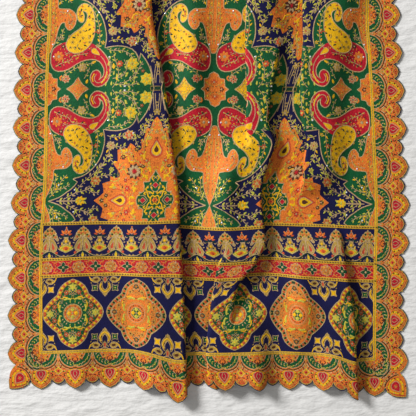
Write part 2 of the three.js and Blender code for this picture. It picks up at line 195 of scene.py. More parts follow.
def place(s, v, height=0.0):
    """Where the laid cloth has the places s, v of the cut, in metres, with a height over its middle layer."""
    normal = sample(UPWARD, s, v)
    normal /= np.linalg.norm(normal, axis=1, keepdims=True)
    beyond = np.zeros((len(s), 3))
    beyond[:, 0] = np.minimum(s, 0) + np.maximum(s - CLOTH_WIDTH, 0)
    beyond[:, 1] = np.minimum(v, 0) + np.maximum(v - CLOTH_LENGTH, 0)
    return (sample(LAID, s, v) + normal * np.asarray(height).reshape(-1, 1) + beyond) * MM


print("the laid cloth is", (np.ptp(X), np.ptp(Y), np.ptp(Z)), "mm")

# %% [markdown]
# ## From drawing to cloth
#
# A drawing is a list of closed outlines in painting order. Blender's own triangulation joins them with an
# even lattice of points, so that the same triangles that carry the colours also bend over the folds. Each
# triangle takes the colour of the last outline that covers it. The drawing is then mirrored and repeated,
# as an embroiderer repeats a pricked pattern.

# %% Names and small shapes
THREADS = [
    "navy", "green", "orange", "red", "yellow", "gold", "lime", "cream", "brown", "rust", "forest", "crystal",
    "diamond"]  # the last one is no thread: it stands for the colour that a placement swaps in
LATTICE = (5.55, 8)  # steps of the even lattice, across and along the cut
FACE_RISE = 0.45  # of the patterned cloth, over the middle of the wall
LEAF = ((0, 0), (0.3, -0.5), (0.72, -0.36), (1, 0), (0.72, 0.36), (0.3, 0.5))  # along, across
SMALL_LEAF = ((0, 0), (0.45, -0.5), (1, 0), (0.45, 0.5))
SMALL_LENGTH = 5.6  # below it a leaf is drawn as a small one
SLIVER = 1e-4  # a triangle of less than half of this area is left out


# %% Curves and rings
def curve(points, closed=True, step=2.6):
    """A smooth line through points. A point with a third value is a corner."""
    p = np.array([q[:2] for q in points], float)
    corner = [len(q) > 2 for q in points]
    n = len(p)
    out = []
    for i in range(n if closed else n - 1):
        a, b = p[i], p[(i + 1) % n]
        length = np.hypot(*(b - a))
        if length < 1e-6:
            continue
        leave, arrive = (b - a) / length, (b - a) / length
        if not corner[i] and (closed or i > 0):
            leave = (b - p[i - 1]) / max(np.hypot(*(b - p[i - 1])), 1e-6)
        j = (i + 1) % n
        if not corner[j] and (closed or j < n - 1):
            after = p[(j + 1) % n]
            arrive = (after - a) / max(np.hypot(*(after - a)), 1e-6)
        t = np.arange(0, 1, 1 / max(1, math.ceil(length / step)))[:, None]
        out.append((2 * t ** 3 - 3 * t ** 2 + 1) * a + (t ** 3 - 2 * t ** 2 + t) * length * leave
                   + (3 * t ** 2 - 2 * t ** 3) * b + (t ** 3 - t ** 2) * length * arrive)
    if not closed:
        out.append(p[-1:])
    return np.vstack(out)


def thinned(path, turn=13.0, reach=9.0):
    """A path without the points that its bends don't need."""
    kept = [0]
    for i in range(1, len(path) - 1):
        a, b = path[i] - path[kept[-1]], path[i + 1] - path[i]
        bend = abs(math.degrees(math.atan2(a[0] * b[1] - a[1] * b[0], a @ b)))
        if bend > turn or np.hypot(*a) > reach:
            kept.append(i)
    return path[kept + [len(path) - 1]]


def ring(cx, cy, r, petals=0, depth=0.0, turn=0.0, squash=1.0, count=None):
    """A disc, or a flower whose rim waves in and out."""
    count = count or max(8, petals * 4)
    a = np.arange(count) * 2 * math.pi / count + turn
    rr = r * (1 + depth * np.cos(petals * (a - turn)))
    return np.stack([cx + rr * np.cos(a), cy + squash * rr * np.sin(a)], axis=1)


# %% A drawing on the flat cut
class Drawing:
    """Shapes on the flat cut: fills in painting order, with the cords and stitches that lie on them."""

    def __init__(self, outline, ground):
        self.outline = np.array(outline, float)
        self.fills = [(ground, self.outline)]
        self.cords = []
        self.stitches = []

    def fill(self, colour, points, edge="gold", width=1.5, smooth=True):
        """A filled outline with a cord along its edge."""
        shape = curve(points) if smooth else np.array(points, float)
        self.fills.append((colour, shape))
        if edge:
            self.cords.append((edge, width, thinned(np.vstack([shape, shape[:1]]))))

    def cord(self, colour, points, width=1.2):
        """A couched cord on a smooth line."""
        self.cords.append((colour, width, thinned(curve(points, closed=False))))

    def stitch(self, colour, shape, height=0.5):
        """A patch of satin stitch that stands proud of the cloth."""
        self.stitches.append((colour, height, np.array(shape, float)))

    def cover(self, points):
        """Take away the cords and stitches laid so far inside a shape that goes over them."""
        shape, cords = curve(points), []
        for colour, width, path in self.cords:
            open_part = (~inside(shape, path)).astype(int)
            turns = np.flatnonzero(np.diff(np.concatenate([[0], open_part, [0]])))
            cords += [(colour, width, path[a:b]) for a, b in zip(turns[::2], turns[1::2]) if b - a > 1]
        self.cords = cords
        self.stitches = [s for s in self.stitches if not inside(shape, s[2].mean(axis=0)[None])[0]]

    def leaf(self, colour, x, y, angle, length, width):
        """A leaf or petal that starts at x, y and points at an angle in degrees."""
        c, s = math.cos(math.radians(angle)), math.sin(math.radians(angle))
        self.stitch(colour, [(x + c * u * length - s * w * width, y + s * u * length + c * w * width)
                             for u, w in (SMALL_LEAF if length < SMALL_LENGTH else LEAF)])


# %% Cutting the fills out
def inside(shape, points):
    """Which points lie inside a closed outline."""
    x, y = points[:, 0][:, None], points[:, 1][:, None]
    x0, y0 = shape[:, 0][None], shape[:, 1][None]
    x1, y1 = np.roll(x0, -1, axis=1), np.roll(y0, -1, axis=1)
    with np.errstate(divide="ignore", invalid="ignore"):
        crossing = x0 + (y - y0) * (x1 - x0) / (y1 - y0)
    hit = ((y0 > y) != (y1 > y)) & (x < crossing)
    return hit.sum(axis=1) % 2 == 1


def cut_out(drawing, steps=LATTICE):
    """The triangles of a drawing's fills, with a colour each."""
    outline = drawing.outline
    (x0, y0), (x1, y1) = outline.min(axis=0), outline.max(axis=0)
    nx, ny = max(1, round((x1 - x0) / steps[0])), max(1, round((y1 - y0) / steps[1]))
    gx, gy = np.meshgrid(np.linspace(x0, x1, nx + 1), np.linspace(y0, y1, ny + 1))
    lattice = np.stack([gx.ravel(), gy.ravel()], axis=1)
    shrunk = (lattice - outline.mean(axis=0)) * 0.99999 + outline.mean(axis=0)
    lattice = lattice[inside(outline, shrunk)]
    points = [Vector(p) for p in lattice]
    faces = []
    for colour, shape in drawing.fills:
        x, y = shape[:, 0], shape[:, 1]
        if (x * np.roll(y, -1) - y * np.roll(x, -1)).sum() < 0:
            shape = shape[::-1]
        faces.append(list(range(len(points), len(points) + len(shape))))
        points += [Vector(p) for p in shape]
    made = delaunay_2d_cdt(points, [], faces, 1, 0.02)
    flat = np.array([p[:] for p in made[0]])
    keep, colours = [], []
    for face, source in zip(made[2], made[5]):
        if 0 in source:
            keep.append(face)
            colours.append(THREADS.index(drawing.fills[max(source)][0]))
    keep = np.array(keep)
    a, b, c = flat[keep[:, 0]], flat[keep[:, 1]], flat[keep[:, 2]]
    area = (b[:, 0] - a[:, 0]) * (c[:, 1] - a[:, 1]) - (b[:, 1] - a[:, 1]) * (c[:, 0] - a[:, 0])
    keep[area < 0] = keep[area < 0][:, ::-1]
    good = np.abs(area) > SLIVER
    return flat, keep[good], np.array(colours)[good]


# %% Laying a drawing on the cloth
def laid_object(name, flat, faces, colours, height=FACE_RISE, weld=True):
    """An object from flat places, with heights in a third column, and faces with a thread colour each."""
    if weld:
        _, first, back = np.unique(np.round(flat, 2), axis=0, return_index=True, return_inverse=True)
        flat, faces = flat[first], back.reshape(-1)[faces]
        good = (faces[:, 0] != faces[:, 1]) & (faces[:, 1] != faces[:, 2]) & (faces[:, 2] != faces[:, 0])
        faces, colours = faces[good], colours[good]
    rise = flat[:, 2] if flat.shape[1] > 2 else 0
    mesh = bpy.data.meshes.new(name)
    mesh.from_pydata(place(flat[:, 0], flat[:, 1], rise + height), [], faces)
    used = sorted(set(colours.tolist()))
    for index in used:
        mesh.materials.append(thread(THREADS[index]))
    slots = np.zeros(len(THREADS), int)
    slots[used] = range(len(used))
    mesh.polygons.foreach_set("material_index", slots[colours].astype(np.int32))
    layer = mesh.uv_layers.new(name="cut")
    layer.data.foreach_set("uv", (flat[faces.ravel(), :2] * MM).ravel())
    mesh.polygons.foreach_set("use_smooth", np.full(len(faces), True))
    mesh.update()
    piece = bpy.data.objects.new(name, mesh)
    bpy.context.collection.objects.link(piece)
    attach(piece, "root")
    print(name, "has", len(faces), "triangles")
    return piece


materials = {}


def thread(name):
    """The material of one colour of thread."""
    if name not in materials:
        materials[name] = make_thread(name)
    return materials[name]


# %% [markdown]
# ## Threads
#
# One node group makes the look of dense embroidery for every colour: rows of small stitches that wander a
# little, dye that is deeper in some threads than in others, and the grain of the cloth under them. The same
# relief that bumps each stitch also paints it lighter in its middle and darker at its rim: painted shade
# between the stitches. It reads the flat cut from the UV map, so it follows the folds. Each colour is a
# material of its own with its own values.

# %% Helpers for shader nodes
def new_group(name, inputs, outputs):
    """A shader node group with named sockets."""
    group = bpy.data.node_groups.new(name, "ShaderNodeTree")
    for label, kind, value in inputs:
        socket = group.interface.new_socket(label, in_out="INPUT", socket_type=kind)
        socket.default_value = value
    for label, kind in outputs:
        group.interface.new_socket(label, in_out="OUTPUT", socket_type=kind)
    return group


def add(tree, kind, links=(), **values):
    """A shader node with its settings and input values; links are (input, output socket) pairs."""
    node = tree.nodes.new(kind if kind.startswith("NodeGroup") else "ShaderNode" + kind)
    for key, value in values.items():
        if hasattr(node, key):
            setattr(node, key, value)
        else:
            node.inputs[key.replace("_", " ")].default_value = value
    for label, output in links:
        tree.links.new(output, node.inputs[label])
    return node


# %% The dense stitching group
stitching = new_group("dense stitching", [
    ("Colour", "NodeSocketColor", (0.5, 0.5, 0.5, 1)), ("Rows per metre", "NodeSocketFloat", 700.0),
    ("Dye and shade variation", "NodeSocketFloat", 0.3), ("Roughness", "NodeSocketFloat", 0.6)],
    [("Colour", "NodeSocketColor"), ("Roughness", "NodeSocketFloat"), ("Height", "NodeSocketFloat")])
inner = add(stitching, "NodeGroupInput")
result = add(stitching, "NodeGroupOutput")
flat_cut = add(stitching, "UVMap", uv_map="cut")
wander = add(stitching, "TexNoise", [("Vector", flat_cut.outputs["UV"])], Scale=90.0, Detail=2.0)
spread = add(stitching, "VectorMath", [(0, wander.outputs["Color"])], operation="MULTIPLY")
spread.inputs[1].default_value = (0.006, 0.006, 0.0)
bent = add(stitching, "VectorMath", [(0, flat_cut.outputs["UV"]), (1, spread.outputs[0])],
           operation="ADD")
scaled = add(stitching, "VectorMath",
             [(0, bent.outputs[0]), ("Scale", inner.outputs["Rows per metre"])], operation="SCALE")
stitch_shape = add(stitching, "Mapping", [("Vector", scaled.outputs[0])])
stitch_shape.inputs["Scale"].default_value = (1.0, 0.42, 1.0)
stitch_shape.inputs["Rotation"].default_value = (0, 0, 0.5)
cells = add(stitching, "TexVoronoi", [("Vector", stitch_shape.outputs[0])], Scale=1.0, Randomness=0.7)
dye = add(stitching, "TexNoise", [("Vector", flat_cut.outputs["UV"])], Scale=330.0, Detail=3.0,
          Roughness=0.7)
patch = add(stitching, "TexNoise", [("Vector", flat_cut.outputs["UV"])], Scale=24.0, Detail=2.0)
relief = add(stitching, "MapRange", [("Value", cells.outputs["Distance"])], From_Min=0.05,
             From_Max=0.75, To_Min=1.0, To_Max=0.0)
# the relief also lightens each stitch's middle and darkens its rim in the colour: painted shade between
# stitches
shade = add(stitching, "Math", [(0, relief.outputs[0]), (1, dye.outputs["Fac"])], operation="ADD")
shade = add(stitching, "Math", [(0, shade.outputs[0]), (1, patch.outputs["Fac"])], operation="ADD")
gain = add(stitching, "MapRange", [("Value", shade.outputs[0])], From_Min=0.7, From_Max=2.1,
           To_Min=-1.0, To_Max=1.0)
# the dye variation input scales the dye, the patches and the painted stitch shade together
gain = add(stitching, "Math", [(0, gain.outputs[0]), (1, inner.outputs["Dye and shade variation"])],
           operation="MULTIPLY_ADD")
gain.inputs[2].default_value = 1.0
dyed_and_shaded = add(stitching, "VectorMath", [(0, inner.outputs["Colour"]), ("Scale", gain.outputs[0])],
           operation="SCALE")
worn = add(stitching, "Math", [(0, dye.outputs["Fac"]), (2, inner.outputs["Roughness"])],
           operation="MULTIPLY_ADD")
worn.inputs[1].default_value = 0.16
stitching.links.new(dyed_and_shaded.outputs[0], result.inputs["Colour"])
stitching.links.new(worn.outputs[0], result.inputs["Roughness"])
stitching.links.new(relief.outputs[0], result.inputs["Height"])

# %% Colours of the threads
COLOURS = {  # base colour, stitch rows per metre, dye and painted shade variation, roughness, sheen, relief
    "navy": ((0.006, 0.006, 0.056), 900, 0.60, 0.70, 0.04, 0.25),
    "green": ((0.002, 0.096, 0.026), 760, 0.55, 0.62, 0.05, 0.45),
    "orange": ((0.83, 0.205, 0.024), 760, 0.42, 0.56, 0.06, 0.55),
    "red": ((0.54, 0.008, 0.024), 760, 0.48, 0.56, 0.05, 0.5),
    "yellow": ((0.90, 0.49, 0.003), 760, 0.34, 0.50, 0.06, 0.5),
    "gold": ((0.50, 0.315, 0.060), 600, 0.52, 0.45, 0.08, 0.45),
    "lime": ((0.56, 0.51, 0.060), 600, 0.42, 0.50, 0.06, 0.45),
    "cream": ((0.55, 0.37, 0.18), 600, 0.46, 0.48, 0.08, 0.45),
    "brown": ((0.085, 0.026, 0.012), 700, 0.45, 0.58, 0.04, 0.4),
    "rust": ((0.60, 0.080, 0.022), 700, 0.42, 0.54, 0.06, 0.45),
    "forest": ((0.004, 0.038, 0.018), 700, 0.45, 0.60, 0.04, 0.4),
    "crystal": ((0.90, 0.92, 0.95), 500, 0.10, 0.06, 0.0, 0.0)}


# %% A material for each thread
def make_thread(name):
    """A thread's material: the stitching group in a plain cloth shader."""
    colour, rows, variation, roughness, sheen, relief = COLOURS[name]
    material = bpy.data.materials.new(name + " thread")
    material.use_nodes = True
    tree = material.node_tree
    shader = tree.nodes["Principled BSDF"]
    group = add(tree, "Group")
    group.node_tree = stitching
    group.inputs["Colour"].default_value = (*colour, 1)
    group.inputs["Rows per metre"].default_value = rows
    group.inputs["Dye and shade variation"].default_value = variation
    group.inputs["Roughness"].default_value = roughness
    tree.links.new(group.outputs["Colour"], shader.inputs["Base Color"])
    tree.links.new(group.outputs["Roughness"], shader.inputs["Roughness"])
    if relief:
        bump = add(tree, "Bump", [("Height", group.outputs["Height"])], Strength=relief, Distance=0.0006)
        tree.links.new(bump.outputs["Normal"], shader.inputs["Normal"])
    shader.inputs["Specular IOR Level"].default_value = 0.22
    shader.inputs["Sheen Weight"].default_value = sheen
    shader.inputs["Sheen Roughness"].default_value = 0.45
    if name == "crystal":
        shader.inputs["Coat Weight"].default_value = 1.0
        shader.inputs["Specular IOR Level"].default_value = 1.0
    return material


print("threads:", ", ".join(COLOURS))

# %% [markdown]
# ## The scalloped edge
#
# Broad scallops alternate with narrow ones, 32 pairs down each side and 13 along each hem, and a pointed
# lobe turns each corner.

# %% Measures of the scallops
NOTCH_DEPTH, SMALL_TIP_DEPTH = 16.5, 8.5
LARGE_HALF, SMALL_HALF = 0.31, 0.19
SIDE_REPEATS, END_REPEATS = 32, 13
SIDE_PITCH = (CLOTH_LENGTH - 2 * END_BORDER) / SIDE_REPEATS
END_PITCH = FIELD_WIDTH / END_REPEATS


# %% The line of the edge
def scallop(t):
    """How far the edge stands in from the cloth's outermost line, t repeats along it."""
    part = t - math.floor(t)
    large = abs(part - 0.5) / LARGE_HALF
    if large < 1:
        return NOTCH_DEPTH * (0.5 * large + 0.5 * large ** 4)
    small = min(part, 1 - part) / SMALL_HALF
    return SMALL_TIP_DEPTH + (NOTCH_DEPTH - SMALL_TIP_DEPTH) * (0.4 * small + 0.6 * small ** 3)


def edge_run(repeats, pitch, samples=20):
    """The edge's places along one side, broad tip to broad tip: distance along, depth."""
    ts = {repeats + 0.5}
    for k in range(repeats):
        ts |= {k + 0.5 + i / samples for i in range(samples)} | {k + 0.5 + LARGE_HALF, k + 1.5 - LARGE_HALF}
    return [((t - 0.5) * pitch, scallop(t)) for t in sorted(ts)]


hem_run = [(SIDE_BORDER + x, y) for x, y in edge_run(END_REPEATS, END_PITCH)]
side_run = [(END_BORDER + x, y) for x, y in edge_run(SIDE_REPEATS, SIDE_PITCH)]
CORNER = curve([(0, 72, 1), (3.5, 61), (8.5, 54), (16, 49, 1), (9, 41), (4.5, 31), (3, 17), (4, 1.5, 1),
                (16, 1), (27, 3), (37, 7.5), (45, 16, 1), (49.5, 9.5), (57, 4.2), (66, 0, 1)], closed=False,
               step=3.5)[1:-1]
near_edge = [tuple(p) for p in CORNER] + hem_run + [(CLOTH_WIDTH - x, y) for x, y in CORNER[::-1]]
left_edge = [(y, x) for x, y in side_run]
whole = (near_edge + [(CLOTH_WIDTH - x, y) for x, y in left_edge]
         + [(x, CLOTH_LENGTH - y) for x, y in near_edge[::-1]] + left_edge[::-1])
print("the edge is drawn with", len(whole), "points")

# %% The dark under-layer
back_drawing = Drawing(whole, "navy")
flat, faces, colours = cut_out(back_drawing, (6, 12))
cloth_back = laid_object("cloth_back", flat, faces[:, ::-1], colours, height=-FACE_RISE)

# %% [markdown]
# ## The field's quarter repeat
#
# Every line is drawn from the middle of a green motif, `x` across and `y` along. The star medallion has its
# middle at the far corner, (222, 222). The green leaf, the paisleys and the stem are fills. The vines on
# the navy and green grounds are cords with leaves stitched on both sides.

# %% Outlines of the motifs
GREEN_LEAF = [
    (-4, -4, 1), (211, -4), (210, 21), (207, 35), (200, 50), (193, 60), (186, 69, 1), (183, 52, 1),
    (180, 64), (174, 72), (166, 78), (156, 81), (142, 83), (128, 82), (114, 80, 1), (117, 99), (115, 115),
    (110, 133), (102, 148), (92, 160), (76, 172), (56, 178, 1), (65, 184, 1), (57, 195), (45, 204),
    (31, 214), (12, 221), (0, 224, 1), (-4, 224, 1)]
STEM = [
    (-3, 70, 1), (5, 72), (9, 84), (14, 95), (16, 106), (20, 122), (25, 130), (31, 131, 1), (33, 122),
    (41, 116), (50, 123), (54, 137), (51, 149), (41, 157), (28, 158), (18, 160), (17, 172), (15, 185),
    (11, 198), (5, 211), (0, 222, 1), (-3, 222, 1)]
RED_PAISLEY = [
    (10, 79), (22, 88), (36, 93), (60, 97), (85, 90), (98, 83), (110, 72), (121, 58), (126, 42), (126, 27),
    (120, 13), (110, 6), (98, 4.6), (89, 12), (86, 23), (90, 33), (98, 37), (105, 33), (107, 25),
    (103, 18, 1), (112, 26), (113, 38), (108, 48), (101, 55), (89, 58), (71, 55), (57, 48), (43, 39),
    (27, 34.5), (15, 37), (8, 46), (6, 62)]
YELLOW_PAISLEY = [
    (52, 70), (40, 76), (35, 88), (40, 101), (50, 111), (62, 119), (72, 130), (76, 141), (74, 150),
    (66, 154, 1), (69, 147), (70, 139), (68, 132), (63, 131), (57, 136), (54, 146), (56, 158), (63, 166),
    (72, 168), (82, 162), (89, 150), (92, 130), (92, 109), (87, 93), (78, 80), (66, 72)]
HEART = [(28, 0, 1), (21, 6), (21, 20, 1), (12, 22), (8, 30), (0, 34, 1), (-4, 34), (-4, 0)]
DIAMOND = [(40, 0, 1), (53, 9), (62, 23, 1), (71, 9), (84, 0, 1), (71, -9), (62, -23, 1), (53, -9)]
STAR = [  # from the star's own middle
    (124, -3, 1), (124, 0, 1), (112, 9), (105, 16, 1), (106, 25), (108, 34, 1), (100, 37), (93, 38.6, 1),
    (92, 49, 1), (84, 46), (76, 46), (72, 51), (78, 62), (87, 74, 1), (81, 78), (77, 79, 1), (78, 101, 1),
    (67, 103), (57, 104, 1), (51, 114, 1), (45, 110), (39, 104), (33, 100), (29, 105), (31, 121, 1),
    (25, 121, 1), (22, 135), (21.5, 145, 1), (12, 142, 1), (8, 156), (0, 166, 1), (-3, 166, 1), (-3, -3, 1)]
EMBLEM = [
    (37, -3), (37, 0), (35, 8), (30, 14), (22, 18, 1), (21.5, 26), (23.5, 36.5, 1), (16, 36.4), (11, 37.6, 1),
    (11, 42.5), (8, 47.5), (3.4, 53), (0, 60, 1), (-3, 60, 1), (-3, -3, 1)]


# %% From the star's measure
def from_star(points):
    """Points measured from the star's middle, in the quarter's own measure."""
    return [(QUARTER - p[0], QUARTER - p[1], *p[2:]) for p in points]


VINE_SPACING, LEAF_SCALE = 1.22, 1.04  # over the steps and the leaf lengths given below
LEAF_PAIR = ((42, 1.0), (-58, 0.62))  # angle from the vine, share of the length
LEAF_SLIMNESS, STALK = 0.46, 1.2
SCATTER = 0.55  # of a pitch
PALE, BRIGHT = ("lime", "lime", "cream"), ("lime", "lime", "yellow")


# %% Vines, flowers and scattered stitches
def vine(drawing, points, every, size, leaves=PALE, colour="cream", width=1.2):
    """A cord with small leaves on both sides, each turned along it."""
    path = curve(points, closed=False, step=1.6)
    drawing.cords.append((colour, width, thinned(path)))
    every, size = every * VINE_SPACING, size * LEAF_SCALE
    travelled = np.concatenate([[0], np.cumsum(np.hypot(*np.diff(path, axis=0).T))])
    for k in range(int(travelled[-1] / every)):
        at = (k + 0.6) * every
        i = min(np.searchsorted(travelled, at), len(path) - 1)
        dx, dy = path[i] - path[i - 1]
        angle = math.degrees(math.atan2(dy, dx))
        side = 1 if k % 2 else -1
        for turn, share in LEAF_PAIR:
            a = math.radians(angle + side * turn)
            drawing.leaf(leaves[(k * 2 + (share < 1)) % len(leaves)], path[i][0] + STALK * math.cos(a),
                         path[i][1] + STALK * math.sin(a), angle + side * turn, size * share,
                         size * share * LEAF_SLIMNESS)


def flower(drawing, x, y, r, petals, colour, heart, rim=None):
    """Petals round a small heart."""
    if rim:
        drawing.stitch(rim, ring(x, y, r * 1.22, petals, 0.16, count=petals * 2), 0.3)
    for k in range(petals):
        a = 360 * k / petals + 12
        c, s = math.cos(math.radians(a)), math.sin(math.radians(a))
        drawing.leaf(colour, x + c * r * 0.22, y + s * r * 0.22, a, r * 0.9, r * 0.62)
    drawing.stitch(heart, ring(x, y, r * 0.32, count=6), 0.9)


def scattered(k):
    """Two numbers between 0 and 1 that look random and always belong to k."""
    wobble = math.sin(k * 12.9898) * 43758.5453
    return wobble - math.floor(wobble), math.modf(abs(wobble) * 7.31)[0]


def sprinkle(drawing, region, pitch, colours, size, avoid=()):
    """Small stitches over a region, scattered on an uneven lattice and clear of the circles to avoid."""
    region = curve(region)
    (x0, y0), (x1, y1) = region.min(axis=0), region.max(axis=0)
    k = 0
    for row in range(int((y1 - y0) / pitch) + 1):
        for column in range(int((x1 - x0) / pitch) + 1):
            k += 1
            jitter = scattered(k)
            x = x0 + (column + 0.5 * (row % 2) + SCATTER * jitter[0]) * pitch
            y = y0 + (row + SCATTER * jitter[1]) * pitch
            edge = np.min(np.hypot(*(region - (x, y)).T))
            if edge < size * 0.8 or not inside(region, np.array([[x, y]]))[0]:
                continue
            if any(math.hypot(x - cx, y - cy) < r for cx, cy, r in avoid):
                continue
            drawing.leaf(colours[k % len(colours)], x, y, 360 * jitter[0], size * (0.8 + 0.5 * jitter[1]),
                         size * LEAF_SLIMNESS)


# %% Drawing the quarter
def draw_field(low_y, high_y):
    """The quarter repeat between two heights of it."""
    d = Drawing([(0, low_y), (QUARTER, low_y), (QUARTER, high_y), (0, high_y)], "navy")
    d.fill("green", GREEN_LEAF, "cream", 2.1)
    d.fill("red", RED_PAISLEY, "cream", 2.0)
    # the red paisley: a flower, a spray and a second line inside its edge
    sprinkle(d, [(12, 76), (36, 90), (84, 88), (108, 66), (100, 58), (60, 56), (26, 38), (12, 44)], 6.8,
             ("gold", "cream", "forest", "orange", "gold", "yellow"), 4.6,
             [(22, 64, 10), (92, 72, 9), (52, 70, 5)])
    flower(d, 22, 64, 10, 8, "orange", "cream")
    flower(d, 56, 74, 5, 6, "gold", "brown")
    flower(d, 30, 84, 5, 5, "forest", "cream")
    d.fill("yellow", [(86, 76), (92, 80), (98, 76), (104, 66, 1), (94, 68), (88, 71)], "cream", 1.0)
    vine(d, [(16, 44), (30, 52), (44, 56), (52, 66), (66, 68), (80, 70)], 7.5, 6, ("forest", "gold", "lime"))
    vine(d, [(34, 68), (44, 74), (42, 82), (34, 78)], 7, 4.5, ("gold", "forest"))
    d.cord("cream", [(106, 64), (114, 54), (119, 40), (118, 28), (112, 17), (104, 12), (97, 14), (94, 22),
                     (98, 29)], 1.5)
    d.cord("yellow", [(120, 34), (119, 26), (115, 18), (108, 11)], 2.4)
    d.cord("yellow", [(92, 14), (90, 22), (94, 30)], 2.4)
    d.cover(YELLOW_PAISLEY)
    d.fill("yellow", YELLOW_PAISLEY, "cream", 1.8)
    d.fill("orange", STEM, "cream", 1.6)
    d.fill("orange", HEART, "cream", 1.6)
    d.fill("diamond", DIAMOND, "cream", 1.6)
    d.fill("orange", from_star(STAR), None)
    d.fill("green", from_star(EMBLEM), "cream", 1.8)
    for drop, turn in (((0, 101), 0), ((72, 0), 1)):
        for colour, scale in (("rust", 1.0), ("yellow", 0.72), ("brown", 0.34)):
            shape = [(0, 24, 1), (8, 10), (13, -1), (10, -12), (0, -17), (-10, -12), (-13, -1), (-8, 10)]
            shape = [(q[0] * scale, q[1] * scale, *q[2:]) for q in shape]
            shape = [(q[1], q[0], *q[2:]) for q in shape] if turn else shape
            d.fill(colour, from_star([(q[0] + drop[0], q[1] + drop[1], *q[2:]) for q in shape]),
                   {"rust": None, "yellow": "cream", "brown": None}[colour], 1.2)
    # the emblem's scrolls and stones, from the star's middle
    for x, y, r in ((0, 30, 6.2), (24, 0, 6.2)):
        d.fill("red", from_star([(x, y + r, 1), (x + r, y, 1), (x, y - r, 1), (x - r, y, 1)]), "cream", 1.0)
    for pts in (((4, 12), (10, 17), (16, 18), (18, 24), (14, 25)),
                ((10, 4), (14, 9), (15, 15), (20, 16), (22, 12)), ((0, 6), (4, 9), (8, 6), (9, 0)),
                ((4, 40), (7, 44), (3, 49))):
        d.cord("yellow", from_star(pts), 2.4)
    for pts in (((0, 16), (5, 19), (9, 25), (8, 31)), ((14, 0), (17, 5), (23, 10), (28, 9))):
        d.cord("cream", from_star(pts), 1.4)
    flower(d, QUARTER, QUARTER, 6, 8, "orange", "red")
    flower(d, QUARTER, QUARTER - 45, 4, 5, "cream", "yellow")
    for x, y, a in ((13, 24, 230), (18, 10, 230), (6, 22, 250), (9, 12, 230), (12, 29, 150), (8, 35, 120),
                    (5, 42, 70), (29, 11, 160), (27, 15, 200), (31, 4, 100), (16, 13, 240), (4, 18, 80),
                    (20, 21, 225)):
        d.leaf(("cream", "yellow", "gold")[(x + y) % 3], QUARTER - x, QUARTER - y, a, 6, 2.8)
    # sprigs over the star
    clear = [(QUARTER, QUARTER - 101, 20), (QUARTER - 72, QUARTER, 20), (QUARTER - 42, QUARTER - 58, 14),
             (QUARTER, QUARTER, 36), (QUARTER - 20, QUARTER - 24, 14), (QUARTER, QUARTER - 45, 12)]
    sprinkle(d, from_star(STAR), 8.2,
             ("yellow", "lime", "rust", "gold", "yellow", "brown", "red", "lime", "cream"), 4.6, clear)
    for x, y, a in ((21, 51, 60), (40, 27, 100), (12, 66, 80), (50, 8, 20), (84, 28, 170), (26, 92, 70),
                    (58, 96, 200)):
        d.leaf("yellow", QUARTER - x, QUARTER - y, a, 12, 5.5)
        d.leaf("yellow", QUARTER - x, QUARTER - y, a + 70, 8, 4)
    flower(d, QUARTER - 42, QUARTER - 58, 12, 9, "cream", "red", rim="brown")
    flower(d, QUARTER - 42, QUARTER - 58, 6.5, 6, "rust", "brown")
    for x, y, c in ((65, 87, "forest"), (38, 102, "forest"), (90, 62, "lime")):
        flower(d, QUARTER - x, QUARTER - y, 5.5, 6, c, "gold")
    for x, y, r, c in ((19, 79, 6, "rust"), (56, 24, 6, "red"), (14, 124, 4.5, "lime"),
                       (100, 10, 4.5, "forest"), (0, 136, 5, "gold"), (108, 0, 5, "forest"),
                       (60, 40, 4, "red"), (30, 92, 4, "red"), (84, 26, 4, "lime"), (26, 68, 4, "forest"),
                       (64, 66, 4, "gold")):
        flower(d, QUARTER - x, QUARTER - y, r, 6, c, "cream")
    swirls = (((22, 50), (28, 54), (27, 62), (34, 66)), ((40, 22), (44, 28), (38, 34), (46, 38)),
              ((88, 22), (78, 24), (68, 20)), ((20, 98), (24, 88), (20, 80)), ((10, 66), (16, 72), (12, 78)),
              ((48, 10), (52, 18), (46, 22)), ((66, 92), (56, 88), (52, 78), (44, 76)),
              ((72, 60), (62, 62), (58, 54)), ((30, 40), (36, 44), (34, 50)),
              ((18, 108), (20, 118), (15, 130)), ((92, 40), (84, 38), (76, 40)),
              ((50, 104), (46, 96), (50, 88)))
    for k, pts in enumerate(swirls):
        d.cord(("yellow", "lime", "rust")[k % 3], from_star(pts), (2.6, 1.7, 1.9)[k % 3])
    vine(d, from_star([(14, 66), (30, 72), (44, 84), (60, 92), (72, 96)]), 8, 5.5,
         ("forest", "lime", "red"), "gold")
    vine(d, from_star([(60, 8), (66, 22), (74, 34), (76, 60), (68, 74)]), 8, 5.5, ("lime", "red", "forest"),
         "gold")
    vine(d, from_star([(44, 12), (40, 30), (30, 44), (14, 62)]), 9, 5, ("yellow", "red", "lime"), "gold")
    vine(d, from_star([(22, 88), (24, 104), (20, 124), (8, 146)]), 8, 5, ("lime", "yellow", "forest"), "gold")
    # the yellow paisley: small olive sprigs all over, and a red heart to its curl
    sprigs = ((44, 82), (54, 78), (66, 78), (48, 92), (60, 90), (72, 88), (82, 92), (44, 100), (56, 102),
              (68, 100), (80, 104), (88, 108), (62, 112), (74, 114), (86, 120), (80, 126), (88, 134),
              (80, 140), (84, 150), (76, 158), (66, 160), (60, 152), (60, 142))
    for k, (x, y) in enumerate(sprigs):
        if k % 3 == 0:
            flower(d, x, y, 3.6, 5, "gold", "forest")
        else:
            d.leaf(("forest", "gold", "forest")[k % 3], x - 2, y - 1, (k * 67) % 360, 7.5, 3)
            d.leaf(("gold", "forest", "rust")[k % 3], x + 2, y + 2, (k * 97 + 40) % 360, 5.6, 2.6)
            d.leaf("gold", x - 1, y + 3, (k * 53 + 110) % 360, 5, 2.2)
    d.cord("rust", [(64, 141), (60, 146), (62, 154)], 2.4)
